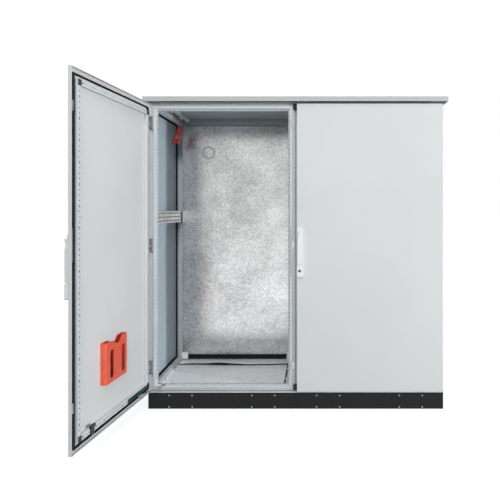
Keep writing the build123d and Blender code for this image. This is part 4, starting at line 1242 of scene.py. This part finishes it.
def stage_world():
    """A soft even sky, white where it is seen or mirrored."""
    world = bpy.data.worlds.new("studio")
    bpy.context.scene.world = world
    world.use_nodes = True
    tree = world.node_tree
    soft = tree.nodes["Background"]
    set_inputs(tree, soft, {"Color": SKY_COLOUR, "Strength": SKY_STRENGTH})
    white = add_node(tree, "Background", {"Color": (1, 1, 1, 1), "Strength": 1.0})
    sky = when_seen(tree, soft.outputs["Background"], white.outputs["Background"])
    tree.links.new(sky, tree.nodes["World Output"].inputs["Surface"])


def stage_lamp(name, place, aim, size, power):
    """A soft lamp of some width and height, turned to a point."""
    data = bpy.data.lights.new(name, "AREA")
    data.shape = "RECTANGLE"
    data.size, data.size_y = size
    data.energy = power
    lamp = bpy.data.objects.new(name, data)
    bpy.context.scene.collection.objects.link(lamp)
    lamp.location = place
    lamp.rotation_euler = (Vector(aim) - Vector(place)).to_track_quat("-Z", "Y").to_euler()
    lamp.visible_glossy = False


class CABINET_OT_stage(bpy.types.Operator):
    """Set up the floor, the soft light and the camera"""

    bl_idname = "cabinet.stage"
    bl_label = "Stage"

    def execute(self, context):
        stage_floor()
        stage_world()
        for lamp in LAMPS:
            stage_lamp(*lamp)
        data = bpy.data.cameras.new("camera")
        data.sensor_width = 36.0
        data.lens = CAMERA_LENS
        data.shift_x, data.shift_y = CAMERA_SHIFT
        camera = bpy.data.objects.new("camera", data)
        context.scene.collection.objects.link(camera)
        camera.location = CAMERA_PLACE
        camera.rotation_euler = (math.radians(90), 0, 0)
        context.scene.camera = camera
        context.scene.view_settings.view_transform = "Standard"
        return {"FINISHED"}


STEPS = (CABINET_OT_stage, CABINET_OT_finishes, CABINET_OT_edges, CABINET_OT_screws, CABINET_OT_frames,
         CABINET_OT_doors, CABINET_OT_pocket, CABINET_OT_inside)


class CABINET_PT_panel(bpy.types.Panel):
    """The cabinet's sizes, colours and steps"""

    bl_idname = "CABINET_PT_panel"
    bl_label = "Utility Cabinet"
    bl_space_type = "VIEW_3D"
    bl_region_type = "UI"
    bl_category = "Cabinet"

    def draw(self, context):
        for group in (context.scene.cabinet_sizes, context.scene.cabinet_colours):
            for name in group.bl_rna.properties.keys():
                if name not in ("rna_type", "name"):
                    self.layout.prop(group, name)
        for step in STEPS:
            self.layout.operator(step.bl_idname)


CLASSES = (CabinetSizes, CabinetColours, *STEPS, CABINET_PT_panel)


def register():
    """Register the classes and hang the properties on the scene."""
    for item in CLASSES:
        bpy.utils.register_class(item)
    bpy.types.Scene.cabinet_sizes = bpy.props.PointerProperty(type=CabinetSizes)
    bpy.types.Scene.cabinet_colours = bpy.props.PointerProperty(type=CabinetColours)


def unregister():
    """Undo what register did."""
    del bpy.types.Scene.cabinet_sizes
    del bpy.types.Scene.cabinet_colours
    for item in reversed(CLASSES):
        bpy.utils.unregister_class(item)


def main():
    """Run every step in order."""
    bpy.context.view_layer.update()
    register()
    for step in STEPS:
        group, name = step.bl_idname.split(".")
        getattr(getattr(bpy.ops, group), name)()


if __name__ == "__main__":
    main()
